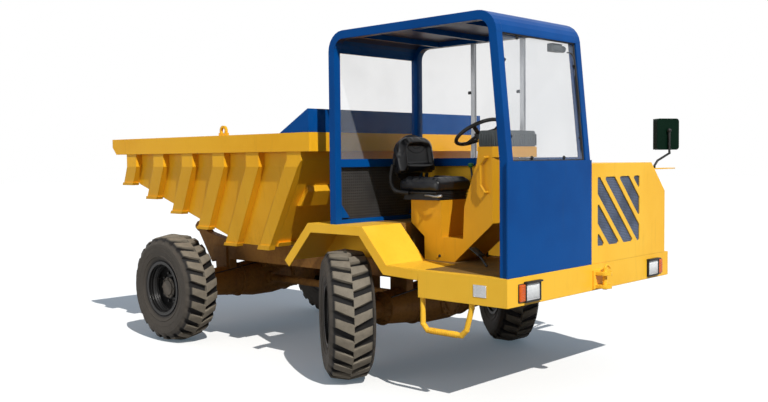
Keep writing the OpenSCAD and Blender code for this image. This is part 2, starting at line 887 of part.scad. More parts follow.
// Hat-section ribs with cap plates at their feet, corner posts, and the beam and lip of the front wall
module skip_ribs() {
    down = rib_drop + cap_t;
    rake = unit(wall_at(beam_z) - wall_at(beam_z - beam_h));
    normal = [rake[1], -rake[0]];
    seat = normal * run_gap;
    out = normal * (beam_d + run_gap);
    color(yellow) at_axle() {
        difference() {
            union() {
                intersection() {
                    along_y(-skip_w / 2, skip_w / 2) {
                        for (i = [1:rib_count - 1]) polygon(rib_side(i, rib_foot(i), rim_z, 0));
                        polygon(post_side(skip_z - cap_t, rim_z, 0));
                    }
                    along_x(skip_rear, 0) polygon(skip_section(rib_d, rim_z));
                }
                intersection() {
                    along_y(-skip_w / 2, skip_w / 2) {
                        for (i = [1:rib_count - 1]) {
                            polygon(rib_side(i, rib_foot(i) - cap_t / 2, rib_foot(i) + cap_t / 2,
                                cap_out));
                        }
                        polygon(post_side(skip_z - cap_t, skip_z + cap_t / 2, cap_out));
                    }
                    along_x(skip_rear, 0) polygon(skip_section(rib_d + cap_out, rim_z));
                }
            }
            along_x(skip_rear - 1, 1) polygon(skip_section(0, rim_top));
        }
        along_y(-skip_bottom_w / 2, skip_bottom_w / 2) {
            polygon([
                wall_at(beam_z) + seat, wall_at(beam_z - beam_h) + seat,
                wall_at(beam_z - beam_h) + rake * beam_side + out,
                wall_at(beam_z) - rake * beam_side + out
            ]);
            polygon([
                wall_at(skip_z) + seat, wall_at(skip_z) + [lip_d, 0],
                wall_at(skip_z + lip_h) + [lip_d, 0], wall_at(skip_z + lip_h) + seat
            ]);
        }
    }
}

board_t = 10;
board_back = 6;
board_in = 2;
wing_top = 12;

// Cross plate on the front rim with a triangular wing along each side
module headboard() {
    x1 = -skip_front - board_back;
    y1 = skip_w / 2 - board_in;
    top = rim_top + headboard_h;
    color(blue) at_axle() {
        box(x1 - board_t, x1, -y1, y1, rim_top, top);
        both_sides() along_y(y1 - board_t, y1) polygon([
            [x1, rim_top], [x1, top], [x1 - wing_top, top], [x1 - wing_l, rim_top]
        ]);
    }
}

lamp_y = 838;
lamp_w = 156;
lamp_h = 116;
lamp_z = bumper_z + 84;
ind_y = 957;
ind_w = 66;
lamp_deep = 50;
lamp_fit = 2;
lamp_out = 10;
lamp_r = 18;
ind_r = 8;

// Front view of a lamp's pocket, or of the lamp in it with a gap all round
module lamp_face(y, w, gap, r) {
    y1 = w / 2 - gap;
    z1 = lamp_h / 2 - gap;
    translate([y, lamp_z]) polygon(rounded([[-y1, -z1], [y1, -z1], [y1, z1], [-y1, z1]], [r, r, r, r]));
}

// Deep band across the front with a return along each side
module bumper() {
    half = bumper_w / 2;
    color(yellow) at_axle() difference() {
        box(return_x, bumper_x, -half, half, bumper_z, bumper_top);
        box(return_x - 1, bumper_x - bumper_t, -half + bumper_t, half - bumper_t, bumper_z - 1,
            bumper_top + 1);
        both_sides() along_x(bumper_x - lamp_deep, bumper_x + 1) {
            lamp_face(lamp_y, lamp_w, 0, lamp_r);
            lamp_face(ind_y, ind_w, 0, ind_r);
        }
    }
}

// Lamps set in the bumper's pockets, standing a little proud of its face
module headlamps() {
    color("white") at_axle() both_sides() along_x(bumper_x - lamp_deep, bumper_x + lamp_out)
        lamp_face(lamp_y, lamp_w, lamp_fit, lamp_r);
}

module indicators() {
    color("orange") at_axle() both_sides() along_x(bumper_x - lamp_deep, bumper_x + lamp_out)
        lamp_face(ind_y, ind_w, lamp_fit, ind_r);
}

jaw_w = 100;
jaw_z = 800;
jaw_t = 24;
jaw_gap = 70;
jaw_plate_w = 140;
jaw_plate_t = 14;
jaw_plate_h = 136;
jaw_pin_d = 32;
jaw_pin_l = 150;

// Forked tow jaw with its pin
module tow_jaw() {
    x = bumper_x + jaw_reach - jaw_w / 2;
    color(yellow) at_axle() {
        for (z = [jaw_z + jaw_gap / 2, jaw_z - jaw_gap / 2 - jaw_t]) {
            translate([0, 0, z]) linear_extrude(jaw_t) {
                translate([bumper_x, -jaw_w / 2]) square([x - bumper_x, jaw_w]);
                translate([x, 0]) circle(d = jaw_w);
            }
        }
        box(bumper_x, bumper_x + jaw_plate_t, -jaw_plate_w / 2, jaw_plate_w / 2,
            jaw_z - jaw_plate_h / 2, jaw_z + jaw_plate_h / 2);
        translate([x, 0, jaw_z - jaw_plate_h / 2]) cylinder(h = jaw_pin_l, d = jaw_pin_d);
    }
}

// Round tube along a path of points, with ball corners wider than the tube by over
module tube_along(p, d, over) {
    for (i = [1:len(p) - 1]) bar(p[i - 1], p[i], d);
    for (i = [1:len(p) - 2]) translate(p[i]) sphere(d = d + over);
}

step_tube = 38;
step_ball = 2;
step_y = -bumper_w / 2 + bumper_t / 2;
step_x = return_x + 20;
step_l = 430;
step_in = 42;
step_drop = 226;
step_bend = 42;
step_up = 30;
step_lean = 45;

// Bent tube step under the right return, upright where it meets it
module boarding_step() {
    top = bumper_z - seam;
    low = bumper_z - step_drop;
    mid = low + step_bend;
    x1 = step_x + step_l;
    path = [
        [step_x, top], [step_x, mid], [step_x + step_in, low],
        [x1 - step_lean - step_in, low], [x1 - step_lean, mid], [x1, top - step_up], [x1, top]
    ];
    color(yellow) at_axle()
        tube_along([for (p = path) [p[0], step_y, p[1]]], step_tube, step_ball);
}

fender_rear = 621;
fender_rear_z = 883;
fender_top_rear = 338;
fender_top_front = 255;
fender_knee = 499;
fender_knee_z = 925;
fender_path = [
    [-fender_rear, fender_rear_z], [-fender_top_rear, fender_z], [fender_top_front, fender_z],
    [fender_knee, fender_knee_z], [return_x, bumper_top]
];
fender_sheet = 10;
arch_z = rail_top + 5;

// Folded front fenders with a deep outer lip and a wall on the inner side of the arch
module fenders() {
    run = (fender_top_rear - fender_rear) / (fender_z - fender_rear_z);
    color(yellow) at_axle() both_sides() {
        along_y(fender_in, fender_y - fender_sheet) polygon(strip(fender_path, -fender_sheet));
        along_y(fender_y - fender_sheet, fender_y) polygon(strip(fender_path, -fender_lip));
        along_y(fender_in, fender_in + fender_sheet) polygon([
            [-fender_rear - run * (arch_z - fender_rear_z), arch_z], fender_path[1], fender_path[2],
            fender_path[3], [fender_knee, arch_z]
        ]);
    }
}

floor_split = return_x + seam;
riser_x = 250;
riser_t = 12;

// Floor plate between the bumper and the fenders, with the raised seat deck behind it
module cab_floor() {
    y0 = -fender_in + seam;
    color(yellow) at_axle() {
        box(floor_split, bumper_x - bumper_t, -bumper_w / 2 + bumper_t, cab_y1, floor_z,
            floor_top);
        box(-cab_rear, floor_split, y0, cab_y1, floor_z, floor_top);
        box(-cab_rear, riser_x + riser_t, y0, cab_y1, deck_z - riser_t, deck_z);
        for (x = [-cab_rear, riser_x]) {
            box(x, x + riser_t, y0, cab_y1, floor_top, deck_z - riser_t);
        }
        box(-cab_rear, riser_x, y0, y0 + riser_t, floor_top, deck_z - riser_t);
    }
}

// Side hoop of the cab: rear post, roof rail, leaning pillar and front post
hoop_path = [
    [-cab_rear, deck_z], [-cab_rear, roof_z], [screen_top_x, roof_z],
    [bumper_x - sheet_t, screen_z], [bumper_x - sheet_t, bumper_top]
];

function hoop_line(d, r) = rounded_path(beside(hoop_path, -d), r);

module hoop(y0) {
    along_y(y0, y0 + tube)
        polygon(concat(hoop_line(0, roof_r), reversed(hoop_line(tube, roof_r - tube))));
}

rail_mid_z = 1625;
roof_t = 24;
beam_w = 40;
beam_x = [160, 640, 1120];
foot_gusset = 90;

// Joint between the posts and the roof frame, at the foot of the rounded corners
roof_joint_z = roof_z - roof_r;

module cab_frame() {
    y0 = cab_y0 + tube;
    y1 = cab_y1 - tube;
    x_in = -cab_rear + tube;
    color(blue) at_axle() difference() {
        union() {
            hoop(cab_y0);
            hoop(cab_y1 - tube);
            // Rear and front rails under the glass
            box(-cab_rear, x_in, y0, y1, rail_mid_z, rail_mid_z + tube);
            box(bumper_x - sheet_t - tube, bumper_x - sheet_t, y0, y1, screen_z - tube, screen_z);
            // Left rail under the side window
            box(x_in, bumper_x - sheet_t - tube, cab_y1 - tube, cab_y1, rail_mid_z,
                rail_mid_z + tube);
            // Rear sill with a gusset in the corner
            box(-cab_rear, x_in, y0, y1, deck_z, deck_z + tube / 2);
            along_x(-cab_rear, -cab_rear + sheet_t) polygon([
                [y0, deck_z + tube / 2], [y0 + foot_gusset, deck_z + tube / 2],
                [y0, deck_z + tube / 2 + foot_gusset]
            ]);
            // Roof cross-beams
            for (x = beam_x) {
                box(x, x + beam_w, y0, y1, roof_z - tube, roof_z - roof_t);
            }
        }
        box(-cab_rear - 1, bumper_x, cab_y0 - 1, cab_y1 + 1, roof_joint_z, roof_joint_z + seam);
    }
}

// Roof sheet between the hoops, following their rounded corners
module cab_roof() {
    color(blue) at_axle() intersection() {
        along_y(cab_y0 + tube, cab_y1 - tube)
            polygon(concat(hoop_line(0, roof_r), reversed(hoop_line(roof_t, roof_r - roof_t))));
        box(-cab_rear - 1, bumper_x, cab_y0, cab_y1, roof_joint_z, roof_z + 1);
    }
}

panel_out = 16;

module front_panel() {
    color(blue) at_axle() box(bumper_x - sheet_t, bumper_x, cab_y0 - panel_out,
        -hood_right - seam, bumper_top, screen_z);
}

glass_in = 20;

module windscreen() {
    color(glass) at_axle() intersection() {
        along_y(cab_y0 + tube + seam, cab_y1 - tube - seam)
            polygon(concat(hoop_line(glass_in, roof_r), reversed(hoop_line(glass_in + glass_t, roof_r))));
        box(screen_top_x - roof_r, bumper_x, cab_y0, cab_y1, screen_z + seam, roof_joint_z - seam);
    }
}

module side_window() {
    y = cab_y1 - tube / 2;
    color(glass) at_axle() difference() {
        along_y(y - glass_t / 2, y + glass_t / 2)
            polygon(hoop_line(tube + seam, roof_r - tube));
        box(-cab_rear, bumper_x, cab_y0, cab_y1 + 1, 0, rail_mid_z + tube + seam);
    }
}

module rear_window() {
    color(glass) at_axle() box(-cab_rear + glass_in, -cab_rear + glass_in + glass_t,
        cab_y0 + tube + seam, cab_y1 - tube - seam, rail_mid_z + tube + seam, roof_joint_z - seam);
}

pane_x = [526, 991];
pane_w = 34;
pane_d = 28;

// Upright frames of the sliding pane in the left window
module window_frames() {
    y = cab_y1 - tube / 2;
    groove = glass_t / 2 + seam / 2;
    color("silver") at_axle() for (x = pane_x) {
        difference() {
            box(x - pane_w / 2, x + pane_w / 2, y - pane_d / 2, y + pane_d / 2,
                rail_mid_z + tube + seam, roof_z - tube - seam);
            box(x - pane_w, x + pane_w, y - groove, y + groove, 0, roof_z);
        }
    }
}

module rear_panel() {
    color(black) at_axle() box(-cab_rear + glass_in, -cab_rear + glass_in + sheet_t,
        cab_y0 + tube + seam, cab_y1 - tube - seam, deck_z + tube / 2 + seam, rail_mid_z - seam);
}

seat_z = 1370;
seat_w = 480;
seat_x = 150;
seat_l = 425;
boot_h = 52;
cushion_h = 122;
back_t = 118;
back_lean = 36;
pedestal_w = 300;
pedestal_x0 = riser_x + riser_t + seam;
pedestal_x1 = 563;
pedestal_foot = 396;
box_z = 1090;
box_x1 = 590;
base_rear = 50;
base_front = 20;
base_share = 0.36;

// Tapered seat column on a low box
module seat_pedestal() {
    color(yellow) at_axle() along_y(seat_y - pedestal_w / 2, seat_y + pedestal_w / 2) polygon([
        [pedestal_x0, deck_z + 1], [pedestal_foot, box_z], [pedestal_foot, floor_top],
        [box_x1, floor_top], [box_x1, box_z], [pedestal_x1, box_z], [pedestal_x1, seat_z],
        [pedestal_x0, seat_z]
    ]);
}

// Suspension base of the seat, narrower than the cushion and waisted at the boot
module seat_base() {
    w = seat_w * base_share;
    z = seat_z + run_gap;
    x0 = seat_x + base_rear;
    x1 = seat_x + seat_l - base_front;
    waist = boot_h / 4;
    color(black) at_axle() along_y(seat_y - w, seat_y + w) polygon([
        [x0, z], [x1, z], [x1 - waist, z + boot_h / 2], [x1, z + boot_h], [x0, z + boot_h],
        [x0 + waist, z + boot_h / 2]
    ]);
}

cushion_z = seat_z + boot_h + 2 * run_gap;
cushion_r = 40;

module seat_cushion() {
    x1 = seat_x + seat_l;
    color(black) at_axle() along_y(seat_y - seat_w / 2, seat_y + seat_w / 2)
        polygon(rounded([
            [seat_x, cushion_z], [x1, cushion_z], [x1, cushion_z + cushion_h],
            [seat_x, cushion_z + cushion_h - 20]
        ], [20, cushion_r, cushion_r, 20]));
}

back_z = cushion_z + cushion_h - 20 + run_gap;
back_top = 1849;
back_w = 450;
back_shoulder = 110;

// Backrest: leaning side view, cut to an outline that narrows to rounded shoulders
module seat_backrest() {
    half = back_w / 2;
    color(black) at_axle() intersection() {
        along_y(seat_y - half, seat_y + half) polygon(rounded([
            [seat_x, back_z], [seat_x + back_t, back_z + 6], [seat_x + back_t - back_lean, back_top],
            [seat_x - back_lean, back_top]
        ], [20, 30, 36, 36]));
        along_x(seat_x - back_t, seat_x + 2 * back_t) polygon(rounded([
            [seat_y - half, back_z - 1], [seat_y + half, back_z - 1],
            [seat_y + half, back_top - back_shoulder], [seat_y + half - 50, back_top],
            [seat_y - half + 50, back_top], [seat_y - half, back_top - back_shoulder]
        ], [20, 20, 60, 70, 70, 60]));
    }
}

console_y0 = seat_y - pedestal_w / 2;
console_w = 330;
console_x1 = 1042;
console_z = 1768;
dash_z = 1690;
dash_y1 = -160;
dash_reach = 103;
dash_x0 = console_x1 - 127;
dash_skew = 50;
dash_plan = [
    [dash_x0, console_y0], [console_x1, console_y0], [console_x1 + dash_reach, dash_y1],
    [dash_x0 + dash_skew, dash_y1]
];
// Face of the console towards the seat: back from its front and down from its top
console_face = [[127, 0], [141, 117], [174, 197], [257, 438]];
console_foot = 270;
console_toe = 100;
console_knee = 558;
handle_d = 20;
ball_over = 0.6;
handle_out = 34;
handle_x = console_x1 - 42;
handle_back = 40;
handle_top = console_z - 78;
handle_low = console_z - 328;
handle_bend = 50;
wheel_x = 800;
wheel_z = 1880;
wheel_tilt = 30;
wheel_stem = 60;
wheel_d = 380;
wheel_grip = 28;
column_d = 60;
column_l = 240;

// Column that carries the steering wheel and the instruments, with a grab handle on its side
module console() {
    down = [sin(wheel_tilt), 0, -cos(wheel_tilt)];
    hub = [wheel_x, seat_y, wheel_z];
    y = console_y0 - handle_out;
    color(yellow) at_axle() {
        along_y(console_y0, console_y0 + console_w) polygon(concat(
            [
                [box_x1 + seam, floor_top], [box_x1 + console_toe, floor_top],
                [console_x1, console_z - console_knee], [console_x1, console_z]
            ],
            [for (p = console_face) [console_x1 - p[0], console_z - p[1]]],
            [[console_x1 - console_foot, box_z], [box_x1 + seam, box_z]]
        ));
        translate([0, 0, dash_z]) linear_extrude(console_z - dash_z) polygon(dash_plan);
        bar(hub + down * (wheel_stem + seam), hub + down * column_l, column_d);
        tube_along([
            [handle_x, console_y0 + handle_d / 2, handle_top], [handle_x, y, handle_top],
            [handle_x - handle_back, y, handle_top - handle_bend],
            [handle_x - handle_back, y, handle_low + handle_bend],
            [handle_x, y, handle_low], [handle_x, console_y0 + handle_d / 2, handle_low]
        ], handle_d, ball_over);
    }
}

dial_top = 1885;
dial_r = 26;
dial_over = 25;
dial_lean = 40;

// Instrument housing on top of the dash
module instrument_hood() {
    color("gray") at_axle() intersection() {
        translate([0, 0, console_z + run_gap]) linear_extrude(dial_top - console_z - run_gap)
            polygon(rounded(dash_plan, [20, 20, 20, 20]));
        along_y(console_y0, dash_y1) polygon(rounded([
            [dash_x0 - dial_over, console_z], [console_x1 + dash_reach + dial_over, console_z],
            [console_x1 + dash_reach + dial_over - dial_lean, dial_top],
            [dash_x0 - dial_over + dial_lean, dial_top]
        ], [0, 0, dial_r, dial_r]));
    }
}

spoke_w = 30;
spoke_t = 12;
spoke_drop = 26;
spoke_end = 40;
spoke_tilt = 27;
boss_d = 70;
boss_h = 50;

module steering_wheel() {
    rim_in = wheel_d / 2 - wheel_grip / 2;
    color(black) at_axle() translate([wheel_x, seat_y, wheel_z]) rotate([0, -wheel_tilt, 0]) {
        rotate_extrude() translate([rim_in, 0]) circle(d = wheel_grip);
        for (a = [60, 180, 300]) {
            rotate([0, 0, a]) translate([0, -spoke_w / 2, -spoke_drop]) {
                cube([rim_in - spoke_end, spoke_w, spoke_t]);
                translate([rim_in - spoke_end, 0, 0]) rotate([0, -spoke_tilt, 0])
                    cube([spoke_end / cos(spoke_tilt), spoke_w, spoke_t]);
            }
        }
        translate([0, 0, -wheel_stem]) cylinder(h = boss_h, d = boss_d);
    }
}

hood_right = 80;
hood_rear = -60;
hood_foot = 40;

// Cross-section (y, z) of the hood, anticlockwise, moved in by d
function hood_section(d) = inset([
    [-hood_right, floor_z - hood_foot], [hood_left, floor_z - hood_foot],
    [hood_left, hood_z - hood_cham], [hood_left - hood_cham, hood_z], [-hood_right, hood_z]
], d);

// Side view of the hood over the left fender
hood_side = [
    [hood_rear, fender_z + seam], fender_path[2] + [seam, seam], fender_path[3] + [seam, seam],
    [return_x, bumper_top + seam], [bumper_x, bumper_top + seam], [bumper_x, hood_z + 1],
    [hood_rear, hood_z + 1]
];

grille_y0 = 4;
grille_w = 626;
grille_z0 = 1040;
grille_h = 500;
grille_r = 14;
grille_bar = 58;
grille_pitch = 213;
grille_first = 136;
grille_bars = 5;

// Ends of the slanted line on which y + z is c, cut to the grille's rectangle
function grille_left(c) = let (y = max(grille_y0, c - grille_z0 - grille_h)) [y, c - y];
function grille_right(c) = let (y = min(grille_y0 + grille_w, c - grille_z0)) [y, c - y];

// Line along edge e (-1 lower, 1 upper) of slanted bar k
function grille_line(k, e) =
    grille_y0 + grille_z0 + grille_first + k * grille_pitch + e * grille_bar / 2;

// Outline of the opening above bar k, from its lower line to the next bar
function grille_slot(k) =
    let (
        y1 = grille_y0 + grille_w,
        z1 = grille_z0 + grille_h,
        lo = grille_line(k, 1),
        hi = grille_line(k + 1, -1),
        a = grille_left(lo),
        b = grille_right(lo),
        c = grille_right(hi),
        d = grille_left(hi)
    )
    k < 0 ? [[grille_y0, grille_z0], c, d] :
    k > grille_bars - 2 ? [a, b, [y1, z1]] :
    concat([a, b], b[0] < y1 && c[1] > grille_z0 ? [[y1, grille_z0]] : [], [c, d],
        d[0] > grille_y0 && a[1] < z1 ? [[grille_y0, z1]] : []);

// Slots between five slanted bars, front view (y, z)
module grille_slots() {
    for (k = [-1:grille_bars - 1]) {
        p = grille_slot(k);
        polygon(rounded(p, [for (q = p) grille_r]));
    }
}

door_x = 620;
door_z = 960;
door_below = 40;
door_top = hood_z - hood_cham - door_below;
hinge_d = 18;
hinge_h = 34;
hinge_leaf = 40;
hinge_t = 6;
hinge_in = 50;
hinge_x = door_x + door_l + door_gap / 2;
hinge_y = hood_left + hinge_d / 2 + seam;
hinge_z = [door_z + hinge_in, door_top - hinge_in - 2 * hinge_h];

// Half of a hinge: knuckle and leaf, the leaf running back (side -1) or ahead (side 1)
module hinge_half(z, side) {
    translate([hinge_x, hinge_y, z]) cylinder(h = hinge_h - seam, d = hinge_d);
    translate([side > 0 ? hinge_x : hinge_x - hinge_leaf, hood_left, z])
        cube([hinge_leaf, hinge_t, hinge_h - seam]);
}

module hood() {
    color(yellow) at_axle() {
        difference() {
            intersection() {
                along_x(hood_rear, bumper_x) polygon(hood_section(0));
                along_y(-hood_right, hood_left) polygon(hood_side);
            }
            along_x(hood_rear + hood_t, bumper_x - hood_t) polygon(hood_section(hood_t));
            along_x(bumper_x - 2 * hood_t, bumper_x + 1) grille_slots();
            box(door_x - door_gap, door_x + door_l + door_gap, hood_left - 2 * hood_t,
                hood_left + 1, door_z - door_gap, door_top + door_gap);
        }
        for (z = hinge_z) hinge_half(z + hinge_h, 1);
    }
}

latch_l = 60;
latch_h = 30;
latch_t = 12;
latch_in = 40;

// Side door over the engine, hinged at its front edge, with a latch at the rear
module hood_door() {
    z = (door_z + door_top) / 2;
    color(yellow) at_axle() {
        box(door_x, door_x + door_l, hood_left - hood_t, hood_left, door_z, door_top);
        for (z = hinge_z) hinge_half(z, -1);
        box(door_x + latch_in, door_x + latch_in + latch_l, hood_left, hood_left + latch_t,
            z - latch_h / 2, z + latch_h / 2);
    }
}

mesh_t = 4;
mesh_over = 30;

module grille_mesh() {
    x1 = bumper_x - hood_t;
    color("gray") at_axle() box(x1 - mesh_t, x1, grille_y0 - mesh_over,
        grille_y0 + grille_w + mesh_over, grille_z0 - mesh_over, grille_z0 + grille_h + mesh_over);
}

shelf_x = 1470;
shelf_w = 60;
shelf_z = 1584;
shelf_t = 6;
shelf_end = 1280;
mirror_x = 1500;
mirror_y = 1186;
mirror_z = 1866;
mirror_w = 205;
mirror_h = 255;
mirror_t = 60;
mirror_turn = -30;
mirror_r = 25;
arm_d = 18;
arm_y = 987;
arm_up = 30;
arm_drop = 172;
// Bends of the arm, from its foot on the shelf
arm_bends = [[0, 0, 25], [8, 38, 65], [26, 213, 125]];
ball_d = 34;
arm_gap = ball_d / 2 + seam;

// Bracket shelf on the hood's chamfer and the bent arm to the back of the mirror
module mirror_arm() {
    edge = function (z) hood_left - (z - hood_z + hood_cham) + seam;
    back = [cos(mirror_turn), sin(mirror_turn), 0];
    foot = [mirror_x, arm_y, shelf_z + shelf_t / 2];
    top = [mirror_x, mirror_y, mirror_z + arm_up] + back * (mirror_t / 2 + arm_gap);
    color(black) at_axle() {
        along_x(shelf_x, shelf_x + shelf_w) polygon([
            [edge(shelf_z), shelf_z], [shelf_end, shelf_z], [shelf_end, shelf_z + shelf_t],
            [edge(shelf_z + shelf_t), shelf_z + shelf_t]
        ]);
        tube_along(concat([foot], [for (b = arm_bends) foot + b],
            [top - [0, 0, arm_drop], top]), arm_d, ball_over);
        translate(top) sphere(d = ball_d);
    }
}

module mirror_head() {
    w = mirror_w / 2;
    h = mirror_h / 2;
    color(black) at_axle() translate([mirror_x, mirror_y, mirror_z]) rotate([0, 0, mirror_turn])
        along_x(-mirror_t / 2, mirror_t / 2) polygon(rounded([[-w, -h], [w, -h], [w, h], [-w, h]],
            [mirror_r, mirror_r, mirror_r, mirror_r]));
}

chassis_frame();
front_axle();
rear_axle();
drive_shafts();
engine_block();
bumper();
headlamps();
indicators();
tow_jaw();
boarding_step();
fenders();
cab_floor();
cab_frame();
cab_roof();
front_panel();
windscreen();
side_window();
rear_window();
window_frames();
rear_panel();
seat_pedestal();
seat_base();
seat_cushion();
seat_backrest();
console();
instrument_hood();
steering_wheel();
hood();
hood_door();
grille_mesh();
mirror_arm();
mirror_head();
skip_shell();
skip_rim();
skip_ribs();
headboard();
cylinder_barrel();
cylinder_rod();
knuckle_right();
knuckle_left();
tyre_front_right();
tyre_front_left();
tyre_rear_right();
tyre_rear_left();
rim_front_right();
rim_front_left();
rim_rear_right();
rim_rear_left();
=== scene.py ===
"""Looks of the site dumper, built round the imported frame.

Finishes, small fittings, light and the camera. Lengths are in metres.
"""

import json
import math

import bpy
from mathutils import Matrix, Vector


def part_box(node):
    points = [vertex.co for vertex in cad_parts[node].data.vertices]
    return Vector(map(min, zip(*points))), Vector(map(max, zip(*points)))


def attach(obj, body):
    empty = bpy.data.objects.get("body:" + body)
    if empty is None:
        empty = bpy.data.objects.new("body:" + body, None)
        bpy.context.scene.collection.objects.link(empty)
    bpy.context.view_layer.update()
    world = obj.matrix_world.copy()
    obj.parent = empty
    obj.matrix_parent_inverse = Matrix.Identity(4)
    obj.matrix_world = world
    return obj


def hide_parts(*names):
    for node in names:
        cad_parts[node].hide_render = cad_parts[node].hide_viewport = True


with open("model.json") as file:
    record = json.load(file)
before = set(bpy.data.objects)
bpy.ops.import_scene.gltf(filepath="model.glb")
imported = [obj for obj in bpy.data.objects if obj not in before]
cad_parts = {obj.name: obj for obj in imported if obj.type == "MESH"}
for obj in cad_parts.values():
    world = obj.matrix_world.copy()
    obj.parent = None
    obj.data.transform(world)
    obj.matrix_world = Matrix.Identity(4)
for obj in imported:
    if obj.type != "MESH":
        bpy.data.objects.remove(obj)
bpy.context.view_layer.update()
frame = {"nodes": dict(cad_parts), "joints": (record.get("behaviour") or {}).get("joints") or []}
nodes = frame["nodes"]
bpy.ops.object.select_all(action="DESELECT")


def srgb(r, g, b):
    """A colour picked on a screen, 0 to 255, as a shader's linear colour."""
    linear = [
        c / 12.92 if c <= 0.04045 else ((c + 0.055) / 1.055) ** 2.4
        for c in (r / 255, g / 255, b / 255)
    ]
    return (*linear, 1.0)


class Wire:
    """A socket of a material's tree. Arithmetic on it adds Math nodes."""

    def __init__(self, tree, socket):
        self.tree = tree
        self.socket = socket

    def add(self, kind, inputs, out=0, **settings):
        """Adds a node: its settings first, then the values or wires of its sockets."""
        made = self.tree.nodes.new(kind)
        for name, value in settings.items():
            setattr(made, name, value)
        for name, value in inputs.items():
            if isinstance(value, Wire):
                self.tree.links.new(value.socket, made.inputs[name])
            else:
                made.inputs[name].default_value = value
        return Wire(self.tree, made.outputs[out])

    def maths(self, operation, first, second=0.0, clamp=False):
        return self.add(
            "ShaderNodeMath",
            {0: first, 1: second},
            operation=operation,
            use_clamp=clamp,
        )

    def __add__(self, other):
        return self.maths("ADD", self, other)

    __radd__ = __add__

    def __mul__(self, other):
        return self.maths("MULTIPLY", self, other)

    __rmul__ = __mul__

    def __sub__(self, other):
        return self.maths("SUBTRACT", self, other)

    def __rsub__(self, other):
        return self.maths("SUBTRACT", other, self)

    def clamped(self):
        return self.maths("ADD", self, 0.0, clamp=True)

    def cell(self, pitch):
        """Offset from the middle of the cell, -0.5 to 0.5, in rows of that pitch."""
        return self.maths("FRACT", self * (1.0 / pitch)) - 0.5

    def band(self, low, high):
        """0 below low, 1 above high, smooth between them."""
        return self.add(
            "ShaderNodeMapRange",
            {"Value": self, "From Min": low, "From Max": high},
            interpolation_type="SMOOTHSTEP",
        )

    def blend(self, under, over):
        """The colour under where this is 0, and over where it is 1."""
        return self.add(
            "ShaderNodeMix", {0: self, 6: under, 7: over}, out=2, data_type="RGBA"
        )


class Finish:
    """A material with one Principled shader, fed from the piece's own place."""

    def __init__(self, name):
        self.material = bpy.data.materials.new(name)
        self.material.use_nodes = True
        tree = self.material.node_tree
        self.tree = tree
        self.shader = tree.nodes["Principled BSDF"]
        coordinates = tree.nodes.new("ShaderNodeTexCoord")
        self.place = Wire(tree, coordinates.outputs["Object"])
        geometry = tree.nodes.new("ShaderNodeNewGeometry")
        self.facing = Wire(tree, geometry.outputs["Normal"])
        self.y, self.z = (
            self.place.add("ShaderNodeSeparateXYZ", {0: self.place}, out=axis)
            for axis in (1, 2)
        )
        self.up = self.facing.add("ShaderNodeSeparateXYZ", {0: self.facing}, out=2)

    def noise(self, scale, detail=3.0, roughness=0.55, at=None):
        return self.place.add(
            "ShaderNodeTexNoise",
            {
                "Vector": at or self.place,
                "Scale": scale,
                "Detail": detail,
                "Roughness": roughness,
            },
        )

    def stretched(self, sx, sy, sz):
        return self.place.add(
            "ShaderNodeMapping", {"Vector": self.place, "Scale": (sx, sy, sz)}
        )

    def soft(self, radius):
        """The normal with edges rounded over the radius."""
        return self.place.add("ShaderNodeBevel", {"Radius": radius}, samples=4)

    def edge(self, soft):
        """1 along the edges that a soft normal rounds."""
        agree = self.place.add(
            "ShaderNodeVectorMath",
            {0: soft, 1: self.facing},
            out=1,
            operation="DOT_PRODUCT",
        )
        return (1 - agree).band(0.02, 0.22)

    def bump(self, height, strength, distance, over=None):
        inputs = {"Height": height, "Strength": strength, "Distance": distance}
        if over:
            inputs["Normal"] = over
        return self.place.add("ShaderNodeBump", inputs)

    def set(self, **sockets):
        """Feeds the shader: Base_Color is its socket Base Color."""
        for name, value in sockets.items():
            socket = self.shader.inputs[name.replace("_", " ")]
            if isinstance(value, Wire):
                self.tree.links.new(value.socket, socket)
            else:
                socket.default_value = value
        return self.material


PAINT_EDGE = 0.006
MOULDED_EDGE = 0.004


def painted(
    name,
    colour,
    deep,
    grime,
    low,
    high,
    gloss=0.34,
    dust=0.25,
    shine=0.06,
    glint=0.14,
    under=None,
):
    """Sprayed paint: slight cloudiness, soft worn edges and dust on ledges.

    Grime fades between the heights low and high. Faces that look down take the
    colour under, where there is one: painted shade on the undersides.
    """
    f = Finish(name)
    cloud = f.noise(2.3, 4.0)
    speck = f.noise(38.0, 5.0, 0.65)
    soft = f.soft(PAINT_EDGE)
    body = (cloud.band(0.35, 0.75) * 0.55).blend(colour, deep)
    # Painted shade: faces that look down darken towards the colour under.
    if under:
        body = ((f.up * -1).band(0.5, 0.9) * 0.8).blend(body, under)
    ledge = f.up.band(0.55, 0.95) * speck.band(0.35, 0.75) * dust
    splash = (1 - f.z.band(low, high)) * (speck * 0.6 + cloud * 0.6).band(0.45, 0.85)
    streak = f.noise(3.0, 3.0, 0.6, f.stretched(9.0, 9.0, 0.7)).band(0.56, 0.82) * 0.14
    worn = f.edge(soft) * f.noise(14.0, 4.0, 0.6).band(0.50, 0.72) * 0.45
    dirty = (ledge + splash * 0.6 + streak + worn).clamped()
    return f.set(
        Base_Color=dirty.blend(body, grime),
        Roughness=gloss + dirty * 0.35 + cloud * 0.10,
        Normal=f.bump(f.noise(170.0, 2.0), 0.05, 0.002, soft),
        Coat_Weight=shine - dirty * shine,
        Coat_Roughness=0.10,
        Specular_IOR_Level=glint,
    )


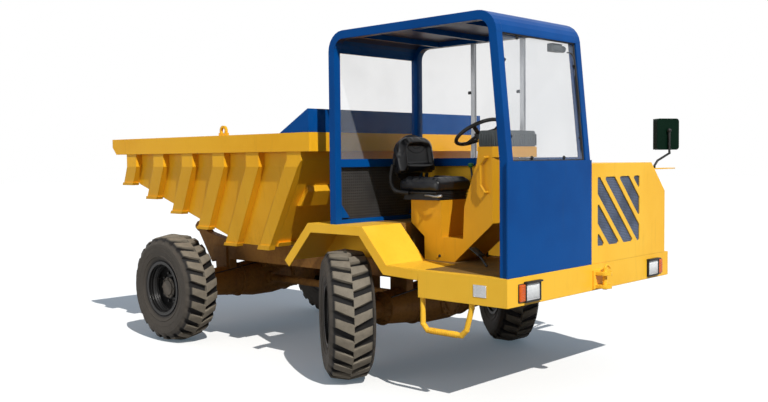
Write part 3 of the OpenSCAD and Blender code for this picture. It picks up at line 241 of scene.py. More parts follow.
def plain(name, colour, other, roughness, metallic=0.0, depth=0.15, glint=0.35):
    """A moulded or machined surface: two shades in fine grain, with soft edges."""
    f = Finish(name)
    wide = f.noise(6.0, 4.0)
    fine = f.noise(90.0, 3.0)
    mixed = (wide * 0.6 + fine * 0.5).band(0.35, 0.8)
    return f.set(
        Base_Color=mixed.blend(colour, other),
        Roughness=roughness + fine * 0.15,
        Metallic=metallic,
        Normal=f.bump(fine, depth, 0.0015, f.soft(MOULDED_EDGE)),
        Specular_IOR_Level=glint,
    )


def perforated(name, metal, hole, pitch):
    """Sheet with rows of round holes, drawn in the plane of y and z."""
    f = Finish(name)
    u, v = f.y.cell(pitch), f.z.cell(pitch)
    solid = (u * u + v * v).band(0.085, 0.125)
    worn = f.noise(5.0, 4.0).band(0.35, 0.8)
    return f.set(
        Base_Color=solid.blend(hole, worn.blend(metal, hole)),
        Roughness=0.5 + worn * 0.2,
        Normal=f.bump(solid, 0.6, 0.003),
    )


def rubber():
    """Tyre rubber: paler on the lugs' tops, grey walls and dark grooves."""
    f = Finish("tyre_rubber")
    reach = f.place.add("ShaderNodeAttribute", {}, out=2, attribute_name="reach")
    side = f.place.add("ShaderNodeAttribute", {}, out=2, attribute_name="side")
    speck = f.noise(26.0, 5.0, 0.65)
    patch = f.noise(5.0, 4.0)
    crown = reach.band(0.462, 0.482) * (0.55 + speck * 0.7)
    wall = side.band(0.140, 0.158) * (0.55 + patch * 0.5)
    dark = speck.band(0.3, 0.8).blend(srgb(20, 20, 22), srgb(34, 32, 31))
    grey = wall.clamped().blend(dark, srgb(78, 73, 67))
    return f.set(
        Base_Color=crown.clamped().blend(grey, srgb(122, 115, 103)),
        Roughness=0.50 + speck * 0.30,
        Normal=f.bump(f.noise(60.0, 4.0, 0.6), 0.35, 0.004),
        Specular_IOR_Level=0.18,
    )


def clear_pane():
    """Thin glass with a faint film of dust."""
    f = Finish("window_glass")
    film = f.noise(1.4, 3.0).band(0.4, 0.8)
    return f.set(
        Base_Color=srgb(196, 204, 214),
        Roughness=0.04,
        Alpha=0.10 + film * 0.05,
    )


yellow_paint = painted(
    "yellow_paint",
    srgb(250, 196, 58),
    srgb(240, 178, 36),
    srgb(152, 108, 46),
    low=0.2,
    high=0.85,
)
# A darker copy of the yellow paint for the console and seat pedestal: painted shade, standing in
# for the cab's shade on them.
cab_yellow_painted_shade = painted(
    "cab_yellow_painted_shade",
    srgb(224, 164, 36),
    srgb(210, 148, 26),
    srgb(128, 90, 40),
    low=0.2,
    high=0.95,
)
skip_paint = painted(
    "skip_paint",
    srgb(246, 184, 36),
    srgb(234, 166, 22),
    srgb(148, 98, 36),
    low=0.7,
    high=1.25,
)
blue_paint = painted(
    "blue_paint",
    srgb(4, 75, 147),
    srgb(4, 60, 125),
    srgb(52, 74, 102),
    low=0.5,
    high=1.0,
    gloss=0.30,
    dust=0.12,
    shine=0.02,
    glint=0.05,
    # Painted shade for the undersides of the blue cab parts.
    under=srgb(60, 50, 38),
)
# A browner, darker yellow for the frame and running gear: partly dirt and partly painted shade.
frame_paint_dirt_and_shade = painted(
    "frame_paint_dirt_and_shade",
    srgb(164, 116, 56),
    srgb(122, 84, 44),
    srgb(80, 60, 42),
    low=0.5,
    high=1.5,
    gloss=0.55,
)
tyre_rubber = rubber()
rim_paint = plain("rim_paint", srgb(15, 15, 16), srgb(28, 27, 26), 0.24)
hub_metal = plain("hub_metal", srgb(104, 96, 86), srgb(78, 72, 64), 0.5)
mirror_case = plain("mirror_case", srgb(4, 26, 16), srgb(8, 32, 21), 0.3, glint=0.06)
seat_vinyl = plain("seat_vinyl", srgb(24, 25, 28), srgb(34, 35, 38), 0.24, depth=0.03)
seat_thread = plain("seat_thread", srgb(12, 12, 13), srgb(20, 20, 21), 0.6)
black_plastic = plain("black_plastic", srgb(20, 21, 22), srgb(34, 34, 35), 0.46)
grey_plastic = plain("grey_plastic", srgb(74, 80, 82), srgb(58, 64, 66), 0.5)
green_plastic = plain("green_plastic", srgb(52, 128, 66), srgb(40, 104, 54), 0.4)
bare_alloy = plain("bare_alloy", srgb(188, 190, 192), srgb(160, 162, 166), 0.32, 0.9)
chrome = plain("chrome", srgb(206, 208, 210), srgb(190, 192, 195), 0.10, 1.0)
lamp_white = plain("lamp_white", srgb(228, 231, 234), srgb(206, 210, 214), 0.10)
lamp_orange = plain("lamp_orange", srgb(226, 104, 18), srgb(196, 78, 10), 0.2)
deck_dark = plain("deck_dark", srgb(96, 74, 40), srgb(150, 112, 46), 0.7)
mesh_panel = perforated("mesh_panel", srgb(58, 58, 58), srgb(14, 14, 15), 0.022)
grille_steel = perforated("grille_steel", srgb(84, 100, 130), srgb(22, 28, 40), 0.012)
window_glass = clear_pane()

FINISHES = {
    yellow_paint: [
        "bumper",
        "tow_jaw",
        "boarding_step",
        "fenders",
        "hood",
        "hood_door",
    ],
    cab_yellow_painted_shade: ["seat_pedestal", "console"],
    skip_paint: ["skip_shell", "skip_rim", "skip_ribs"],
    blue_paint: ["cab_frame", "cab_roof", "front_panel", "headboard"],
    frame_paint_dirt_and_shade: [
        "chassis_frame",
        "front_axle",
        "rear_axle",
        "drive_shafts",
        "knuckle_right",
        "knuckle_left",
        "cylinder_barrel",
        "engine_block",
    ],
    deck_dark: ["cab_floor"],
    chrome: ["cylinder_rod"],
    lamp_white: ["headlamps"],
    lamp_orange: ["indicators"],
    window_glass: ["windscreen", "side_window", "rear_window"],
    bare_alloy: ["window_frames"],
    mesh_panel: ["rear_panel"],
    grille_steel: ["grille_mesh"],
    seat_vinyl: ["seat_cushion", "seat_backrest"],
    black_plastic: ["seat_base", "steering_wheel", "mirror_arm"],
    mirror_case: ["mirror_head"],
    grey_plastic: ["instrument_hood"],
    tyre_rubber: [n for n in nodes if n.startswith("tyre_")],
    rim_paint: [n for n in nodes if n.startswith("rim_")],
}
for finish, names in FINISHES.items():
    for name in names:
        mesh = nodes[name].data
        mesh.materials.clear()
        mesh.materials.append(finish)


AHEAD = Vector((1, 0, 0))
LEFT = Vector((0, 1, 0))
UP = Vector((0, 0, 1))
FRONT_AXLE_X = 0.8
WHEELBASE = 2.33
HUB_Z = 0.5


def spot(x, y, z):
    """A point in the part's frame, with x measured from the front axle."""
    return Vector((x + FRONT_AXLE_X, y, z))


def pick(piece):
    """Leaves one piece selected, in object mode."""
    bpy.ops.object.select_all(action="DESELECT")
    piece.select_set(True)
    bpy.context.view_layer.objects.active = piece
    return piece


def slab(low, high, lean=0.0):
    """A block between two corners, turned by lean about its own cross axis."""
    low, high = Vector(low), Vector(high)
    bpy.ops.object.select_all(action="DESELECT")
    bpy.ops.mesh.primitive_cube_add(size=1.0, location=(low + high) / 2)
    piece = bpy.context.object
    piece.scale = high - low
    piece.rotation_euler.y = math.radians(lean)
    bpy.ops.object.transform_apply()
    return piece


def block(xs, y, half, zs, lean=0.0):
    """A slab between two x and two heights, that reaches half to each side of y."""
    return slab(spot(xs[0], y - half, zs[0]), spot(xs[1], y + half, zs[1]), lean)


def bar(start, end, radius, sides=24):
    """A round or many-sided bar from one point to another."""
    start, end = Vector(start), Vector(end)
    run = end - start
    bpy.ops.object.select_all(action="DESELECT")
    bpy.ops.mesh.primitive_cylinder_add(
        vertices=sides,
        radius=radius,
        depth=run.length,
        location=(start + end) / 2,
        rotation=run.to_track_quat("Z", "Y").to_euler(),
    )
    bpy.ops.object.transform_apply()
    return bpy.context.object


def rod(start, end, radius, sides=24):
    """A bar between points whose x is measured from the front axle."""
    return bar(spot(*start), spot(*end), radius, sides)


def bent_tube(points, radius):
    """A tube along the points, with round bends and flat ends."""
    bpy.ops.object.select_all(action="DESELECT")
    bpy.ops.curve.primitive_nurbs_path_add()
    curve = bpy.context.object.data
    curve.splines.clear()
    line = curve.splines.new("NURBS")
    line.points.add(len(points) - 1)
    for point, place in zip(line.points, points):
        point.co = (*place, 1.0)
    line.order_u = 3
    line.use_endpoint_u = True
    line.resolution_u = 6
    curve.dimensions = "3D"
    curve.bevel_depth = radius
    curve.bevel_resolution = 4
    curve.use_fill_caps = True
    bpy.ops.object.convert(target="MESH")
    pick(bpy.context.object)
    bpy.ops.object.shade_smooth_by_angle(angle=math.radians(40))
    return bpy.context.object


def tube(points, radius):
    """A bent tube along points whose x is measured from the front axle."""
    return bent_tube([spot(*point) for point in points], radius)


def hoop(centre, axis, radius, thickness, steps=72):
    """A ring of round section about an axis."""
    bpy.ops.object.select_all(action="DESELECT")
    bpy.ops.mesh.primitive_torus_add(
        location=centre,
        rotation=Vector(axis).to_track_quat("Z", "Y").to_euler(),
        major_radius=radius,
        minor_radius=thickness,
        major_segments=steps,
        minor_segments=8,
    )
    bpy.ops.object.transform_apply()
    bpy.ops.object.shade_smooth()
    return bpy.context.object


def worked(piece, kind, **settings):
    """Adds a modifier, sets it and applies it."""
    pick(piece)
    tool = piece.modifiers.new(kind.lower(), kind)
    for name, value in settings.items():
        setattr(tool, name, value)
    bpy.ops.object.modifier_apply(modifier=tool.name)
    return piece


def eased(piece, width, segments=2):
    """Rounds the sharp edges, and smooths the faces between them."""
    worked(
        piece,
        "BEVEL",
        width=width,
        segments=segments,
        limit_method="ANGLE",
        angle_limit=math.radians(30),
    )
    bpy.ops.object.shade_smooth_by_angle(angle=math.radians(38))
    return piece


def choose(piece, way, least=0.9):
    """Enters edit mode with the faces selected that look along a direction."""
    pick(piece)
    bpy.ops.object.mode_set(mode="EDIT")
    bpy.ops.mesh.select_mode(type="FACE")
    bpy.ops.mesh.select_all(action="DESELECT")
    bpy.ops.object.mode_set(mode="OBJECT")
    for face in piece.data.polygons:
        face.select = face.normal.dot(way) > least
    bpy.ops.object.mode_set(mode="EDIT")


def recessed(piece, way, margin, push):
    """Insets the faces that look along a direction, and pushes the middle along it."""
    choose(piece, way)
    bpy.ops.mesh.inset(thickness=margin)
    bpy.ops.mesh.extrude_region_move(
        TRANSFORM_OT_translate={"value": tuple(way * push)}
    )
    bpy.ops.object.mode_set(mode="OBJECT")
    return piece


def together(pieces):
    """Joins pieces into the first of them."""
    bpy.ops.object.select_all(action="DESELECT")
    for piece in pieces:
        piece.select_set(True)
    bpy.context.view_layer.objects.active = pieces[0]
    if len(pieces) > 1:
        bpy.ops.object.join()
    bpy.ops.object.transform_apply()
    return bpy.context.object


def repeated(piece, places):
    """Copies of a piece that stands at the origin, turned to each place and way."""
    made = []
    for point, along in places:
        twin = bpy.data.objects.new("twin", piece.data.copy())
        bpy.context.scene.collection.objects.link(twin)
        turn = Vector(along).to_track_quat("Z", "Y").to_matrix().to_4x4()
        twin.matrix_world = Matrix.Translation(point) @ turn
        made.append(twin)
    bpy.data.objects.remove(piece)
    return together(made)


def circle(centre, out, across, radius, step):
    """Places round a centre in the plane of across and up, each facing out."""
    turns = [math.radians(a) for a in range(0, 360, step)]
    return [
        (centre + (across * math.cos(a) + UP * math.sin(a)) * radius, out)
        for a in turns
    ]


def hex_head(radius, height):
    """A bolt head on its washer, upright at the origin."""
    seat = height * 0.25
    washer = bar((0, 0, 0), (0, 0, seat), radius * 1.45, 16)
    head = bar((0, 0, seat), (0, 0, height), radius, 6)
    recessed(head, UP, radius * 0.25, height * 0.08)
    return eased(together([washer, head]), radius * 0.10, 1)


def fit(pieces, name, finish, body="chassis"):
    """Joins finished pieces under a name, with a finish, to move with a body."""
    piece = together(pieces)
    piece.name = name
    piece.data.name = name
    piece.data.materials.clear()
    piece.data.materials.append(finish)
    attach(piece, body)
    return piece


def copy_of(node):
    """A copy of a CAD node's mesh with its loose triangles merged."""
    piece = bpy.data.objects.new("copy", nodes[node].data.copy())
    bpy.context.scene.collection.objects.link(piece)
    pick(piece)
    bpy.ops.object.mode_set(mode="EDIT")
    bpy.ops.mesh.select_all(action="SELECT")
    bpy.ops.mesh.remove_doubles(threshold=0.0004)
    bpy.ops.mesh.tris_convert_to_quads(face_threshold=0.6, shape_threshold=3.0)
    bpy.ops.object.mode_set(mode="OBJECT")
    return piece


# Rings about a wheel's axis: radius, distance out from the middle, thickness.
WALL_RINGS = (
    (0.302, 0.1615, 0.0045),
    (0.352, 0.1650, 0.0026),
    (0.392, 0.1672, 0.0030),
)
RIM_RIDGES = (
    (0.2290, 0.1440, 0.0060),
    (0.2285, 0.1180, 0.0045),
    (0.2150, 0.0840, 0.0050),
    (0.2130, 0.0560, 0.0040),
)


class Wheel:
    """Where a wheel stands: its middle, its axis outwards and a level way across it."""

    def __init__(self, place):
        joint = next(j for j in frame["joints"] if j["name"] == "spin_" + place)
        side = -1.0 if place.endswith("right") else 1.0
        self.place = place
        self.body = "wheel_" + place
        self.middle = Vector(joint["pos_m"])
        self.out = Vector(joint["axis"]).normalized() * side
        self.across = self.out.cross(UP)

    def at(self, radius, turn, out):
        a = math.radians(turn)
        flat = self.across * math.cos(a) + UP * math.sin(a)
        return self.middle + flat * radius + self.out * out

    def bolts(self, head, radius, out, step):
        """Heads on a circle about the axis."""
        centre = self.middle + self.out * out
        return repeated(head, circle(centre, self.out, self.across, radius, step))

    def hoops(self, rows, side=1):
        return [
            hoop(self.middle + self.out * out * side, self.out, radius, thick)
            for radius, out, thick in rows
        ]


def make_tyre(wheel):
    """The lugged tyre with softened lugs and moulded rings on both walls."""
    tread = eased(copy_of("tyre_" + wheel.place), 0.0055)
    rings = wheel.hoops(WALL_RINGS) + wheel.hoops(WALL_RINGS, -1)
    piece = together([tread] + rings)
    for name in ("reach", "side"):
        piece.data.attributes.new(name, "FLOAT", "POINT")
    for k, vertex in enumerate(piece.data.vertices):
        away = vertex.co - wheel.middle
        out = away.dot(wheel.out)
        piece.data.attributes["side"].data[k].value = abs(out)
        piece.data.attributes["reach"].data[k].value = (away - wheel.out * out).length
    fit([piece], "tread_" + wheel.place, tyre_rubber, wheel.body)
    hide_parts("tyre_" + wheel.place)


def make_hub(wheel):
    """Wheel nuts on the disc, the bolted hub cover, and the rim's ridges and valve."""
    nuts = wheel.bolts(hex_head(0.0150, 0.026), 0.138, 0.0295, 36)
    fit([nuts], "wheel_nuts_" + wheel.place, rim_paint, wheel.body)
    cover = bar(wheel.at(0, 0, 0.0715), wheel.at(0, 0, 0.0795), 0.0960, 48)
    eased(recessed(cover, wheel.out, 0.026, 0.0115), 0.0022)
    bolts = wheel.bolts(hex_head(0.0075, 0.010), 0.083, 0.0790, 45)
    name = "hub_cover_" + wheel.place
    fit([cover, bolts], name, hub_metal, wheel.body)
    ridges = wheel.hoops(RIM_RIDGES)
    valve = bar(wheel.at(0.196, 20, 0.029), wheel.at(0.204, 20, 0.062), 0.0055, 12)
    ridges.append(eased(valve, 0.001, 1))
    fit(ridges, "rim_ridges_" + wheel.place, rim_paint, wheel.body)


# The headlamps and side lamps stand in the bumper's pockets, from just inside its face.
LAMP_X = 1.5585
HEADLAMP_Y = 0.838
SIDE_LAMP_Y = 0.957
LENS_X = 1.5675


def make_lamp_frames():
    """Black housings and brows of the headlamps, and the bases of the side lamps."""
    made = []
    for side in (-1, 1):
        y = HEADLAMP_Y * side
        housing = block((LAMP_X, 1.577), y, 0.089, (0.741, 0.876))
        made.append(eased(recessed(housing, AHEAD, 0.0125, -0.014), 0.0035))
        brow = block((LAMP_X, 1.590), y, 0.092, (0.868, 0.880))
        made.append(eased(brow, 0.003))
        base = block((LAMP_X, 1.5625), SIDE_LAMP_Y * side, 0.036, (0.747, 0.869))
        made.append(eased(recessed(base, AHEAD, 0.002, 0.0012), 0.001, 1))
    fit(made, "lamp_frames", black_plastic)


def make_lenses():
    """Clear lenses with upright flutes, and orange lenses with level ribs."""
    clear, orange = [], []
    for side in (-1, 1):
        y = HEADLAMP_Y * side
        lens = block((LENS_X, 1.5715), y, 0.0755, (0.7535, 0.8625))
        clear.append(eased(recessed(lens, AHEAD, 0.010, 0.0022), 0.0015))
        for step in range(-6, 7):
            line = y + step * 0.0098
            flute = rod((1.5733, line, 0.766), (1.5733, line, 0.850), 0.0022, 8)
            clear.append(eased(flute, 0.0006, 1))
        y = SIDE_LAMP_Y * side
        lens = block((LENS_X, 1.574), y, 0.030, (0.754, 0.862))
        orange.append(eased(lens, 0.004, 3))
        for step in range(-4, 5):
            z = 0.808 + step * 0.0105
            rib = rod((1.574, y - 0.026, z), (1.574, y + 0.026, z), 0.002, 8)
            orange.append(eased(rib, 0.0006, 1))
    fit(clear, "headlamp_lenses", lamp_white)
    fit(orange, "side_lamp_lenses", lamp_orange)


SCREEN_FOOT, SCREEN_TOP = 1.665, 2.495
SCREEN_LEFT, SCREEN_RIGHT = -0.1474, -1.0276
SCREEN_SLOPE = 0.1


def screen_x(z):
    """Outer face of the windscreen at a height, from the front axle."""
    return 1.528 - SCREEN_SLOPE * (z - SCREEN_FOOT)


def on_screen(y, z, off=0.0):
    """A point in front of the windscreen's outer face."""
    return spot(screen_x(z) + off, y, z)


def make_screen_fittings():
    """Buttons that hold the windscreen, the wiper and its motor behind the glass."""
    button = together(
        [
            eased(bar((0, 0, 0), (0, 0, 0.006), 0.0135, 20), 0.0015),
            eased(bar((0, 0, 0.005), (0, 0, 0.013), 0.0080, 16), 0.0020),
        ]
    )
    square = (1.0, 0.0, SCREEN_SLOPE)
    places = (
        (-0.845, 2.475),
        (-1.008, 2.320),
        (-0.168, 2.330),
        (-1.008, 1.826),
        (-0.790, 1.685),
        (-0.168, 1.826),
        (-0.400, 1.685),
    )
    buttons = repeated(button, [(on_screen(y, z), square) for y, z in places])
    fit([buttons], "screen_buttons", black_plastic)
    motor = block((1.385, 1.432), -0.33, 0.06, (2.425, 2.482))
    eased(recessed(motor, AHEAD, 0.010, 0.006), 0.005)
    drum = rod((1.400, -0.270, 2.452), (1.400, -0.205, 2.452), 0.024, 28)
    fit([motor, eased(drum, 0.004)], "wiper_motor", grey_plastic)
    arm = bent_tube(
        [
            on_screen(-0.190, 2.43, -0.030),
            on_screen(-0.190, 2.43, 0.022),
            on_screen(-0.180, 2.30, 0.026),
            on_screen(-0.172, 2.00, 0.022),
        ],
        0.0055,
    )
    x = screen_x(2.0)
    blade = block((x + 0.003, x + 0.019), -0.168, 0.0045, (1.735, 2.265), -5.71)
    fit([arm, eased(blade, 0.0012, 1)], "wiper", black_plastic)


def make_cab_trim():
    """Rubber seal round the windscreen, and corner plates at the rear frame's foot."""
    corners = [
        Vector(corner)
        for corner in (
            (-0.60, SCREEN_FOOT),
            (SCREEN_LEFT, SCREEN_FOOT),
            (SCREEN_LEFT, SCREEN_TOP),
            (SCREEN_RIGHT, SCREEN_TOP),
            (SCREEN_RIGHT, SCREEN_FOOT),
            (-0.61, SCREEN_FOOT),
        )
    ]
    path = [
        here.lerp(ahead, share)
        for here, ahead in zip(corners, corners[1:])
        for share in (0.0, 0.05, 0.95)
    ]
    path.append(corners[-1])
    seal = bent_tube([on_screen(y, z, 0.001) for y, z in path], 0.0075)
    fit([seal], "screen_seal", black_plastic)
    plates = []
    for y, post in ((-0.981, -1.032), (-0.196, -0.145)):
        plate = block((-0.056, -0.049), y, 0.051, (1.236, 1.350))
        choose(plate, UP)
        bpy.ops.transform.resize(
            value=(1.0, 0.06, 1.0), center_override=spot(0, post, 1.35)
        )
        bpy.ops.object.mode_set(mode="OBJECT")
        plates.append(eased(plate, 0.0015, 1))
    fit(plates, "frame_gussets", blue_paint)


def make_pane_catches():
    """Catches on the uprights of the sliding side pane."""
    made = []
    for x, z in ((0.497, 2.200), (0.959, 2.185)):
        grip = block((x - 0.017, x + 0.017), -0.125, 0.006, (z - 0.012, z + 0.012))
        made.append(eased(recessed(grip, -LEFT, 0.005, 0.006), 0.003))
    fit(made, "pane_catches", black_plastic)


SEAT_Y = -0.42
SEAT_HINGE = (0.15, SEAT_Y, 1.53)
BACK_LEAN = -7.0
PAD_VOXEL = 0.006
PAD_SWELL = 0.010
PAD_PRESSURE = 4.0
SEAM = 0.0024


def blown(piece):
    """Fills a closed skin with air as cloth, and limits how far each point swells."""
    scene = bpy.context.scene
    before = [v.co.copy() for v in piece.data.vertices]
    cloth = piece.modifiers.new("cloth", "CLOTH")
    cloth.settings.use_pressure = True
    cloth.settings.uniform_pressure_force = PAD_PRESSURE
    cloth.settings.effector_weights.gravity = 0.0
    cloth.settings.quality = 5
    for step in range(1, 21):
        scene.frame_set(step)
    graph = bpy.context.evaluated_depsgraph_get()
    after = [v.co.copy() for v in piece.evaluated_get(graph).data.vertices]
    piece.modifiers.remove(cloth)
    scene.frame_set(1)
    for vertex, old, new in zip(piece.data.vertices, before, after):
        move = new - old
        if move.length > PAD_SWELL:
            move *= PAD_SWELL / move.length
        vertex.co = old + move


def stuffed(parts, lean=0.0):
    """One padded skin over overlapping cores, which lean together about the hinge."""
    piece = together(parts)
    hinge = Matrix.Translation(spot(*SEAT_HINGE))
    turn = Matrix.Rotation(math.radians(lean), 4, "Y")
    piece.matrix_world = hinge @ turn @ hinge.inverted()
    pick(piece)
    bpy.ops.object.transform_apply()
    piece.data.remesh_voxel_size = PAD_VOXEL
    bpy.ops.object.voxel_remesh()
    worked(piece, "SMOOTH", factor=0.6, iterations=12)
    blown(piece)
    worked(piece, "SMOOTH", factor=0.5, iterations=4)
    worked(piece, "SUBSURF", levels=1, render_levels=1)
    bpy.ops.object.shade_smooth()
    return piece


def seam_on(piece, starts, along):
    """A sewn cord on the skin, where rays from the starts meet it."""
    hits = []
    for start in starts:
        met, place, normal, _ = piece.ray_cast(start, along)
        if met:
            hits.append(place + normal * SEAM * 0.2)
    return bent_tube(hits, SEAM)


def make_seat_pads():
    """Stuffed cushion and backrest with raised rims, and their sewn seams."""
    y = SEAT_Y
    cushion = stuffed(
        [
            eased(block((0.172, 0.588), y, 0.214, (1.436, 1.528)), 0.034, 4),
            rod((0.230, y - 0.168, 1.512), (0.520, y - 0.168, 1.506), 0.032),
            rod((0.230, y + 0.168, 1.512), (0.520, y + 0.168, 1.506), 0.032),
            rod((0.540, y - 0.170, 1.500), (0.540, y + 0.170, 1.500), 0.038),
        ]
    )
    rim = [(-0.168, 1.58), (-0.172, 1.72), (-0.150, 1.815), (0.0, 1.828)]
    rim += [(-w, z) for w, z in reversed(rim[:-1])]
    backrest = stuffed(
        [
            block((0.135, 0.205), y, 0.195, (1.566, 1.720)),
            rod((0.135, y - 0.062, 1.712), (0.205, y - 0.062, 1.712), 0.138, 40),
            rod((0.135, y + 0.062, 1.712), (0.205, y + 0.062, 1.712), 0.138, 40),
            rod((0.206, y - 0.150, 1.610), (0.206, y + 0.150, 1.610), 0.030),
            tube([(0.206, y + w, z) for w, z in rim], 0.036),
        ],
        BACK_LEAN,
    )
    above, before = 1.7, 0.6
    lines = [
        [spot(0.20 + 0.02 * k, y + w, above) for k in range(17)]
        for w in (-0.135, 0.135)
    ]
    lines.append([spot(0.46, y + 0.02 * k, above) for k in range(-6, 7)])
    seams = [seam_on(cushion, starts, -UP) for starts in lines]
    lines = [
        [spot(before, y + w, 1.61 + 0.01 * k) for k in range(13)]
        for w in (-0.128, 0.128)
    ]
    arc = [math.radians(a) for a in range(-84, 85, 12)]
    for wide, deep in ((0.120, 0.09), (0.060, 0.055)):
        curve = [(wide * math.sin(a), 1.82 - deep * math.cos(a)) for a in arc]
        lines.append([spot(before, y + w, z) for w, z in curve])
    seams += [seam_on(backrest, starts, -AHEAD) for starts in lines]
    fit(seams, "seat_seams", seat_thread)
    for piece, name, node in (
        (cushion, "seat_cushion_pad", "seat_cushion"),
        (backrest, "seat_back_pad", "seat_backrest"),
    ):
        fit([piece], name, seat_vinyl)
        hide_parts(node)


def make_seat_shell():
    """Shell behind the backrest, hinge arms with ridged sleeves, pan and bellows."""
    y = SEAT_Y
    shell = rod((0.104, y, 1.690), (0.128, y, 1.687), 0.190, 48)
    made = [eased(recessed(shell, -AHEAD, 0.04, 0.010), 0.008, 3)]
    arm = (
        (0.130, 1.640),
        (0.108, 1.570),
        (0.108, 1.500),
        (0.140, 1.445),
        (0.210, 1.425),
        (0.300, 1.424),
    )
    for edge in (y - 0.214, y + 0.214):
        made.append(tube([(x, edge, z) for x, z in arm], 0.0150))
        for k in range(9):
            a = math.radians(175 + 11 * k)
            across, along = math.cos(a), math.sin(a)
            centre = spot(0.190 + 0.080 * across, edge, 1.507 + 0.080 * along)
            made.append(hoop(centre, (-along, 0, across), 0.0160, 0.0032, 20))
    pan = block((0.165, 0.560), y, 0.205, (1.4235, 1.4330))
    made.append(eased(recessed(pan, -UP, 0.02, 0.004), 0.003))
    for k in range(4):
        z = 1.3745 + k * 0.0125
        fold = block((0.205, 0.566), y, 0.172, (z, z + 0.0085))
        made.append(eased(fold, 0.0038, 3))
    fit(made, "seat_shell", black_plastic)
    lever = tube(
        [
            (0.44, y - 0.19, 1.408),
            (0.50, y - 0.205, 1.408),
            (0.55, y - 0.215, 1.400),
            (0.60, y - 0.215, 1.404),
        ],
        0.0070,
    )
    knob = rod((0.585, y - 0.215, 1.402), (0.625, y - 0.215, 1.408), 0.0105, 16)
    fit([lever, eased(knob, 0.003)], "seat_lever", bare_alloy)


def make_instruments():
    """Ribs on the instrument housing, the gauges and the ignition switch."""
    right, left = -0.57, -0.16
    ribs = []
    for k in range(9):
        x = 0.925 + k * 0.0145
        low = spot(x, right - 0.0045, 1.775)
        high = spot(x + 0.007, right + 0.004, 1.862)
        ribs.append(eased(slab(low, high), 0.0018, 1))
    for k in range(20):
        share = (k + 0.5) / 20
        y = right + share * (left - right)
        x = 1.042 + share * 0.103
        rib = block((x - 0.004, x + 0.006), y, 0.004, (1.775, 1.860))
        ribs.append(eased(rib, 0.0018, 1))
    fit(ribs, "housing_ribs", grey_plastic)
    dials = []
    for share, radius in ((0.25, 0.036), (0.52, 0.044), (0.78, 0.030)):
        y = right + share * (left - right)
        x = 0.922 + 0.05 * share
        dial = rod((x + 0.02, y, 1.825), (x - 0.012, y, 1.832), radius, 32)
        dials.append(eased(recessed(dial, -AHEAD, 0.006, -0.008), 0.002))
    key = rod((0.935, -0.20, 1.735), (0.912, -0.20, 1.737), 0.014, 20)
    dials.append(eased(key, 0.003))
    fit(dials, "gauges", black_plastic)


def make_levers():
    """Two levers beside the console, with flattened round knobs."""
    y = -0.200
    levers, knobs = [], []
    for foot, top, z in ((0.62, 0.56, 1.62), (0.70, 0.65, 1.60)):
        path = [(foot + 0.02, y, 0.92), (foot, y, 1.25), (top, y, z)]
        levers.append(tube(path, 0.0085))
        centre = spot(top, y, z + 0.015)
        bpy.ops.object.select_all(action="DESELECT")
        bpy.ops.mesh.primitive_uv_sphere_add(
            segments=20, ring_count=12, radius=0.024, location=centre
        )
        knob = bpy.context.object
        choose(knob, UP, 0.6)
        bpy.ops.transform.resize(value=(1.0, 1.0, 0.6), center_override=centre)
        bpy.ops.object.mode_set(mode="OBJECT")
        bpy.ops.object.shade_smooth()
        knobs.append(knob)
    fit(levers, "control_levers", black_plastic)
    fit(knobs, "lever_knobs", green_plastic)


def make_pedals():
    """Two sloping pedal plates on bent arms."""
    square = Vector((2, 0, 3)).normalized()
    pedals = []
    for y in (-0.66, -0.20):
        plate = block((0.92, 1.02), y, 0.038, (1.012, 1.022), 32.0)
        pedals.append(eased(recessed(plate, square, 0.008, 0.0036056), 0.003))
        arm = [(0.975, y, 1.010), (1.02, y, 0.96), (1.06, y, 0.915)]
        pedals.append(tube(arm, 0.009))
    fit(pedals, "pedals", black_plastic)


def make_bumper_fittings():
    """Blank plate with rivets, ridges on the step, and the tow pin's handle."""
    plate = block((1.285, 1.392), -1.1115, 0.0013, (0.777, 0.858))
    eased(recessed(plate, -LEFT, 0.004, 0.0006), 0.0006, 1)
    corners = [(x, z) for x in (1.292, 1.385) for z in (0.784, 0.851)]
    rivets = repeated(
        eased(bar((0, 0, 0), (0, 0, 0.0022), 0.0035, 12), 0.0010),
        [(spot(x, -1.1128, z), (0, -1, 0)) for x, z in corners],
    )
    fit([plate, rivets], "blank_plate", bare_alloy)
    low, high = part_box("boarding_step")
    y = (low.y + high.y) / 2
    z = low.z + 0.020
    ridges = []
    for k in range(15):
        x = low.x + 0.088 + k * 0.0165
        ridge = bar((x - 0.0035, y, z), (x + 0.0035, y, z), 0.0222, 24)
        ridges.append(eased(ridge, 0.0016, 1))
    fit(ridges, "step_ridges", yellow_paint)
    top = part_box("tow_jaw")[1]
    bend = ((0.0, 0.0), (0.0, 0.022), (0.045, 0.026), (0.070, -0.002))
    handle = bent_tube([(top.x - 0.05, y, top.z + rise) for y, rise in bend], 0.0080)
    fit([handle], "tow_pin_handle", yellow_paint)


def make_mirror_face():
    """Mirror glass set in a raised rim on the side that faces the driver."""
    low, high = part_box("mirror_head")
    turn = Matrix.Rotation(math.radians(-30.0), 4, "Z")
    face = Matrix.Translation((low + high) / 2) @ turn
    face @= Matrix.Translation((-0.0305, 0, 0))
    glass = slab((-0.006, -0.092, -0.117), (0.0, 0.092, 0.117))
    rim = slab((-0.004, -0.100, -0.125), (0.004, 0.100, 0.125))
    recessed(rim, -AHEAD, 0.008, -0.003)
    for piece, width in ((glass, 0.0015), (rim, 0.003)):
        eased(piece, width)
        piece.matrix_world = face
    fit([rim], "mirror_rim", black_plastic)
    fit([glass], "mirror_glass", chrome)


